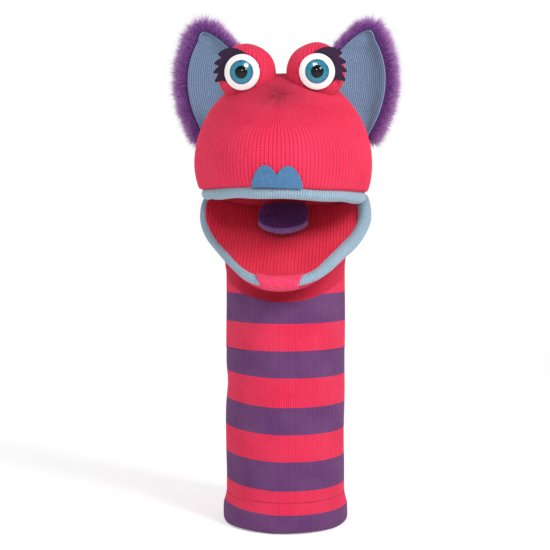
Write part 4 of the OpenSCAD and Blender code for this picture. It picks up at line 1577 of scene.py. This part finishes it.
def build_ear_fur(side, suffix, back_points, body):
    """Fur over the ear's back, and a thick border that frames the knitted front."""
    random = np.random.default_rng(90 + side)
    roots, normals = scattered(back_points, 9000, 91 + side)
    normals = np.where(normals[:, 1:2] < 0, -normals, normals)
    centre = np.array([side * 66 * MM, 0, lip_z + 88 * MM])
    away = unit((roots - centre) * np.array([1, 0, 1]))
    lay = normals * 0.8 + away * 0.7 + random.normal(size=roots.shape) * 0.25
    lengths = random.uniform(5.5, 8.5, len(roots)) * MM
    back = strands(
        "ear_fur_back_" + suffix, roots, lay, lengths, 0.16 * MM, ear_fur, 95 + side
    )
    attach(back, body)

    outer, inner = ear_edges(1.2 * MM, 400)
    high = inner[:, 1] > 92 * MM
    border = np.vstack([outer, inner[high][::-1]])
    middle = np.array([60 * MM, 90 * MM])
    count = 19000
    marks = random.uniform(0, len(border) - 1.001, count)
    whole = marks.astype(int)
    spot = mix(border[whole], border[whole + 1], (marks - whole)[:, None])
    tangent = border[np.minimum(whole + 3, len(border) - 1)] - border[np.maximum(whole - 3, 0)]
    out = unit(np.stack([tangent[:, 1], -tangent[:, 0]], axis=1))
    out = np.where(((spot - middle) * out).sum(axis=1, keepdims=True) < 0, -out, out)
    layer = random.uniform(0, 1, count)
    depth = EAR_FRONT + mix(2.0 * MM, 9.5 * MM, layer)
    inward = random.uniform(-0.6, 1.8, count) * MM
    spot = spot - out * inward[:, None]
    roots = stack(side * spot[:, 0], depth, lip_z + spot[:, 1])
    tuft = np.sin(marks * 0.41 + 2.0 * np.sin(marks * 0.083) + layer * 2.0)
    tilt = 0.34 * tuft + random.normal(size=count) * 0.17
    swept = np.stack([
        out[:, 0] * np.cos(tilt) - out[:, 1] * np.sin(tilt),
        out[:, 0] * np.sin(tilt) + out[:, 1] * np.cos(tilt),
    ], axis=1)
    directions = stack(side * swept[:, 0], mix(-0.22, 0.9, layer ** 1.3), swept[:, 1])
    directions = directions + random.normal(size=directions.shape) * 0.10
    near_brow = smooth((whole - len(outer)) / 90.0)
    corner = hump(spot[:, 1], 118 * MM, 13 * MM) * (whole < len(outer))
    reach = mix(13.0 + 1.4 * corner, 8.6, near_brow) * (1 + 0.15 * np.sin(marks * 0.41 + 1.3))
    reach = reach * (1.0 - 0.06 * side)
    lengths = random.uniform(0.70, 1.08, count) * reach * MM
    rim = strands(
        "ear_fur_rim_" + suffix, roots, directions, lengths, 0.18 * MM, ear_fur,
        97 + side, curl=0.42,
    )
    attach(rim, body)


for ear_side, ear_name in ((-1, "left"), (1, "right")):
    build_ear(ear_side, ear_name)


# ---------------------------------------------------------------- tongue

def tongue_frame():
    """The tongue's seam and how its own axes lie, with X across and Y back."""
    root = joint_place("tongue_lift")
    turn = Matrix.Rotation(mouth_angle - math.radians(10), 3, "X")
    return root, np.array(turn)


def build_tongue():
    root, axes = tongue_frame()
    half = 18.0 * MM
    length = 38.0 * MM
    columns, rows = 72, 60
    angle = np.linspace(0, TURN, columns, endpoint=False)[None, :]
    along = np.linspace(0, 1, rows)[:, None]
    reach = length * along
    round_end = np.sqrt(np.clip(1 - ((reach - (length - half)) / half).clip(0, 1) ** 2, 0, 1))
    wide = half * np.where(reach > length - half, round_end, 0.90 + 0.10 * smooth(along / 0.4))
    wide = np.maximum(wide, 0.4 * MM)
    thick = 2.2 * MM * np.maximum(round_end, 0.12) ** 0.5
    square = np.sign(np.cos(angle)) * np.abs(np.cos(angle)) ** 0.8
    x = wide * square
    z = thick * np.sin(angle) + 2.6 * MM + 2.4 * MM * along - 4.0 * MM * along ** 3
    y = -reach + 0 * angle
    z = z + 1.2 * MM * (x / half) ** 2 * along
    local = stack(x, y, z)
    points = local @ axes.T + root
    u = spread(angle / TURN, points)
    v = spread(along, points)
    piece = grid_object(
        "tongue_pad", points, {"strand": (u, v)}, tongue_backing, closed_u=True
    )
    close_up(piece)
    refine(piece, 1)
    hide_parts("tongue_plush")
    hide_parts("tongue_backing")
    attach(piece, "tongue")

    wrapped = np.concatenate([points, points[:, :1]], axis=1)
    roots, normals = scattered(wrapped, 16000, 131)
    random = np.random.default_rng(132)
    centre = root + axes @ np.array([0, -length * 0.5, 2.8 * MM])
    normals = np.where(((roots - centre) * normals).sum(axis=1, keepdims=True) < 0, -normals, normals)
    place = (roots - root) @ axes
    end_share = smooth((-place[:, 1] - 18 * MM) / (18 * MM))
    forward = axes @ np.array([0.0, -1.0, -0.35])
    lay = normals + forward * 0.55 + random.normal(size=roots.shape) * 0.22
    lengths = random.uniform(0.8, 1.2, len(roots)) * mix(1.5, 2.1, end_share) * MM
    pile = strands(
        "tongue_pile", roots, lay, lengths, 0.13 * MM, tongue_pile, 133, curl=0.3
    )
    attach(pile, "tongue")

    marks = random.uniform(-1.25, 1.25, 3200)
    edge = stack(
        half * np.sin(marks) * 0.97, -(length - half) - half * np.cos(marks) * 0.97,
        random.uniform(0.6, 3.4, len(marks)) * MM,
    )
    out = stack(np.sin(marks), -np.cos(marks), random.uniform(-1.0, 0.25, len(marks)))
    fringe = strands(
        "tongue_fringe", edge @ axes.T + root, out @ axes.T + random.normal(size=out.shape) * 0.18,
        random.uniform(1.6, 3.0, len(marks)) * MM, 0.13 * MM, fringe_pile, 134, curl=0.4,
    )
    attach(fringe, "tongue")


fringe_pile = pile_material(
    "fringe_pile", srgb(110, 62, 150), srgb(160, 110, 190), srgb(204, 166, 220), srgb(190, 160, 210)
)
build_tongue()


# ---------------------------------------------------------------- hidden pieces

for hidden, finish in (
    ("head_padding", stuffing), ("jaw_padding", stuffing),
    ("upper_palate_board", palate_board), ("lower_palate_board", palate_board),
    ("finger_strap", elastic), ("thumb_strap", elastic), ("hem_thread", purple_thread),
    ("eye_stuffing_left", stuffing), ("eye_stuffing_right", stuffing),
    ("eye_washer_left", washer_plastic), ("eye_washer_right", washer_plastic),
):
    dressed_node(hidden, finish)


# ---------------------------------------------------------------- floor, light and camera

def floor_material():
    """A white sweep that takes shadows near the puppet; it has a painted glow of its own, faint near the
    puppet and rising further off until the floor is plain white.
    """
    material, recipe, shader = new_material("pale_floor", 0.9, Specular_IOR_Level=0.1)
    shader.inputs["Emission Color"].default_value = (1.0, 1.0, 1.0, 1.0)
    place = recipe.place()
    far = recipe.node("ShaderNodeVectorMath", operation="LENGTH")
    recipe.feed(far.inputs[0], place)
    away = recipe.ramp(far.outputs["Value"], 0.25, 1.3, 0.0, 1.0)
    cloud = recipe.noise(place, 3.0, 2.0)
    near = recipe.blend(cloud, srgb(246, 246, 246), srgb(240, 240, 241))
    recipe.feed(shader.inputs["Base Color"], recipe.blend(away, near, (0.0, 0.0, 0.0, 1.0)))
    # Painted glow: the floor gives off light, faintly near the puppet and fully further off.
    recipe.feed(shader.inputs["Emission Strength"], recipe.sum("MULTIPLY_ADD", away, 0.72, 0.28))
    return material


def build_floor():
    bm = bmesh.new()
    bmesh.ops.create_grid(bm, x_segments=1, y_segments=1, size=6.0)
    mesh = bpy.data.meshes.new("floor")
    bm.to_mesh(mesh)
    bm.free()
    floor = bpy.data.objects.new("floor", mesh)
    bpy.context.scene.collection.objects.link(floor)
    floor.data.materials.append(floor_material())


def aim(piece, place, target):
    piece.location = place
    look = Vector(target) - Vector(place)
    piece.rotation_euler = look.to_track_quat("-Z", "Y").to_euler()


def add_light(name, place, target, size, power, colour):
    light = bpy.data.lights.new(name, "AREA")
    light.shape = "SQUARE"
    light.size = size
    light.energy = power
    light.color = colour
    piece = bpy.data.objects.new(name, light)
    bpy.context.scene.collection.objects.link(piece)
    aim(piece, place, target)


def build_light():
    middle = (0, 0, 0.24)
    add_light("key_light", (1.15, -1.0, 1.2), middle, 0.6, 24, (1.0, 0.985, 0.965))
    add_light("fill_light", (-1.2, -1.3, 0.7), middle, 1.2, 2, (0.97, 0.98, 1.0))
    add_light("rim_light", (-0.9, 0.7, 1.1), middle, 0.7, 6, (1.0, 1.0, 1.0))
    add_light("catch_light", (0.02, -1.05, 0.66), (0, 0, 0.33), 0.22, 4.0, (1.0, 1.0, 1.0))
    world = bpy.data.worlds.new("studio")
    world.use_nodes = True
    tree = world.node_tree
    seen = tree.nodes["Background"]
    seen.inputs["Color"].default_value = (1.0, 1.0, 1.0, 1.0)
    seen.inputs["Strength"].default_value = 1.0
    lit = tree.nodes.new("ShaderNodeBackground")
    lit.inputs["Color"].default_value = (0.98, 0.99, 1.0, 1.0)
    lit.inputs["Strength"].default_value = 0.42
    path = tree.nodes.new("ShaderNodeLightPath")
    either = tree.nodes.new("ShaderNodeMixShader")
    tree.links.new(path.outputs["Is Camera Ray"], either.inputs[0])
    tree.links.new(lit.outputs[0], either.inputs[1])
    tree.links.new(seen.outputs[0], either.inputs[2])
    tree.links.new(either.outputs[0], tree.nodes["World Output"].inputs["Surface"])
    bpy.context.scene.world = world


def build_camera():
    """A camera a little to the +X side, at about the height of the mouth."""
    turn = math.radians(3.5)
    away = 0.85
    side = np.array([math.cos(turn), math.sin(turn), 0.0])
    place = np.array([away * math.sin(turn), -away * math.cos(turn), 0.230])
    target = np.array([0.0, 0.0, 0.1905]) - side * 8.2 * MM
    data = bpy.data.cameras.new("camera")
    data.lens = 71.8
    data.sensor_width = 36.0
    camera = bpy.data.objects.new("camera", data)
    bpy.context.scene.collection.objects.link(camera)
    aim(camera, place, target)
    bpy.context.scene.camera = camera


build_floor()
build_light()
build_camera()
bpy.context.scene.view_settings.view_transform = "Standard"
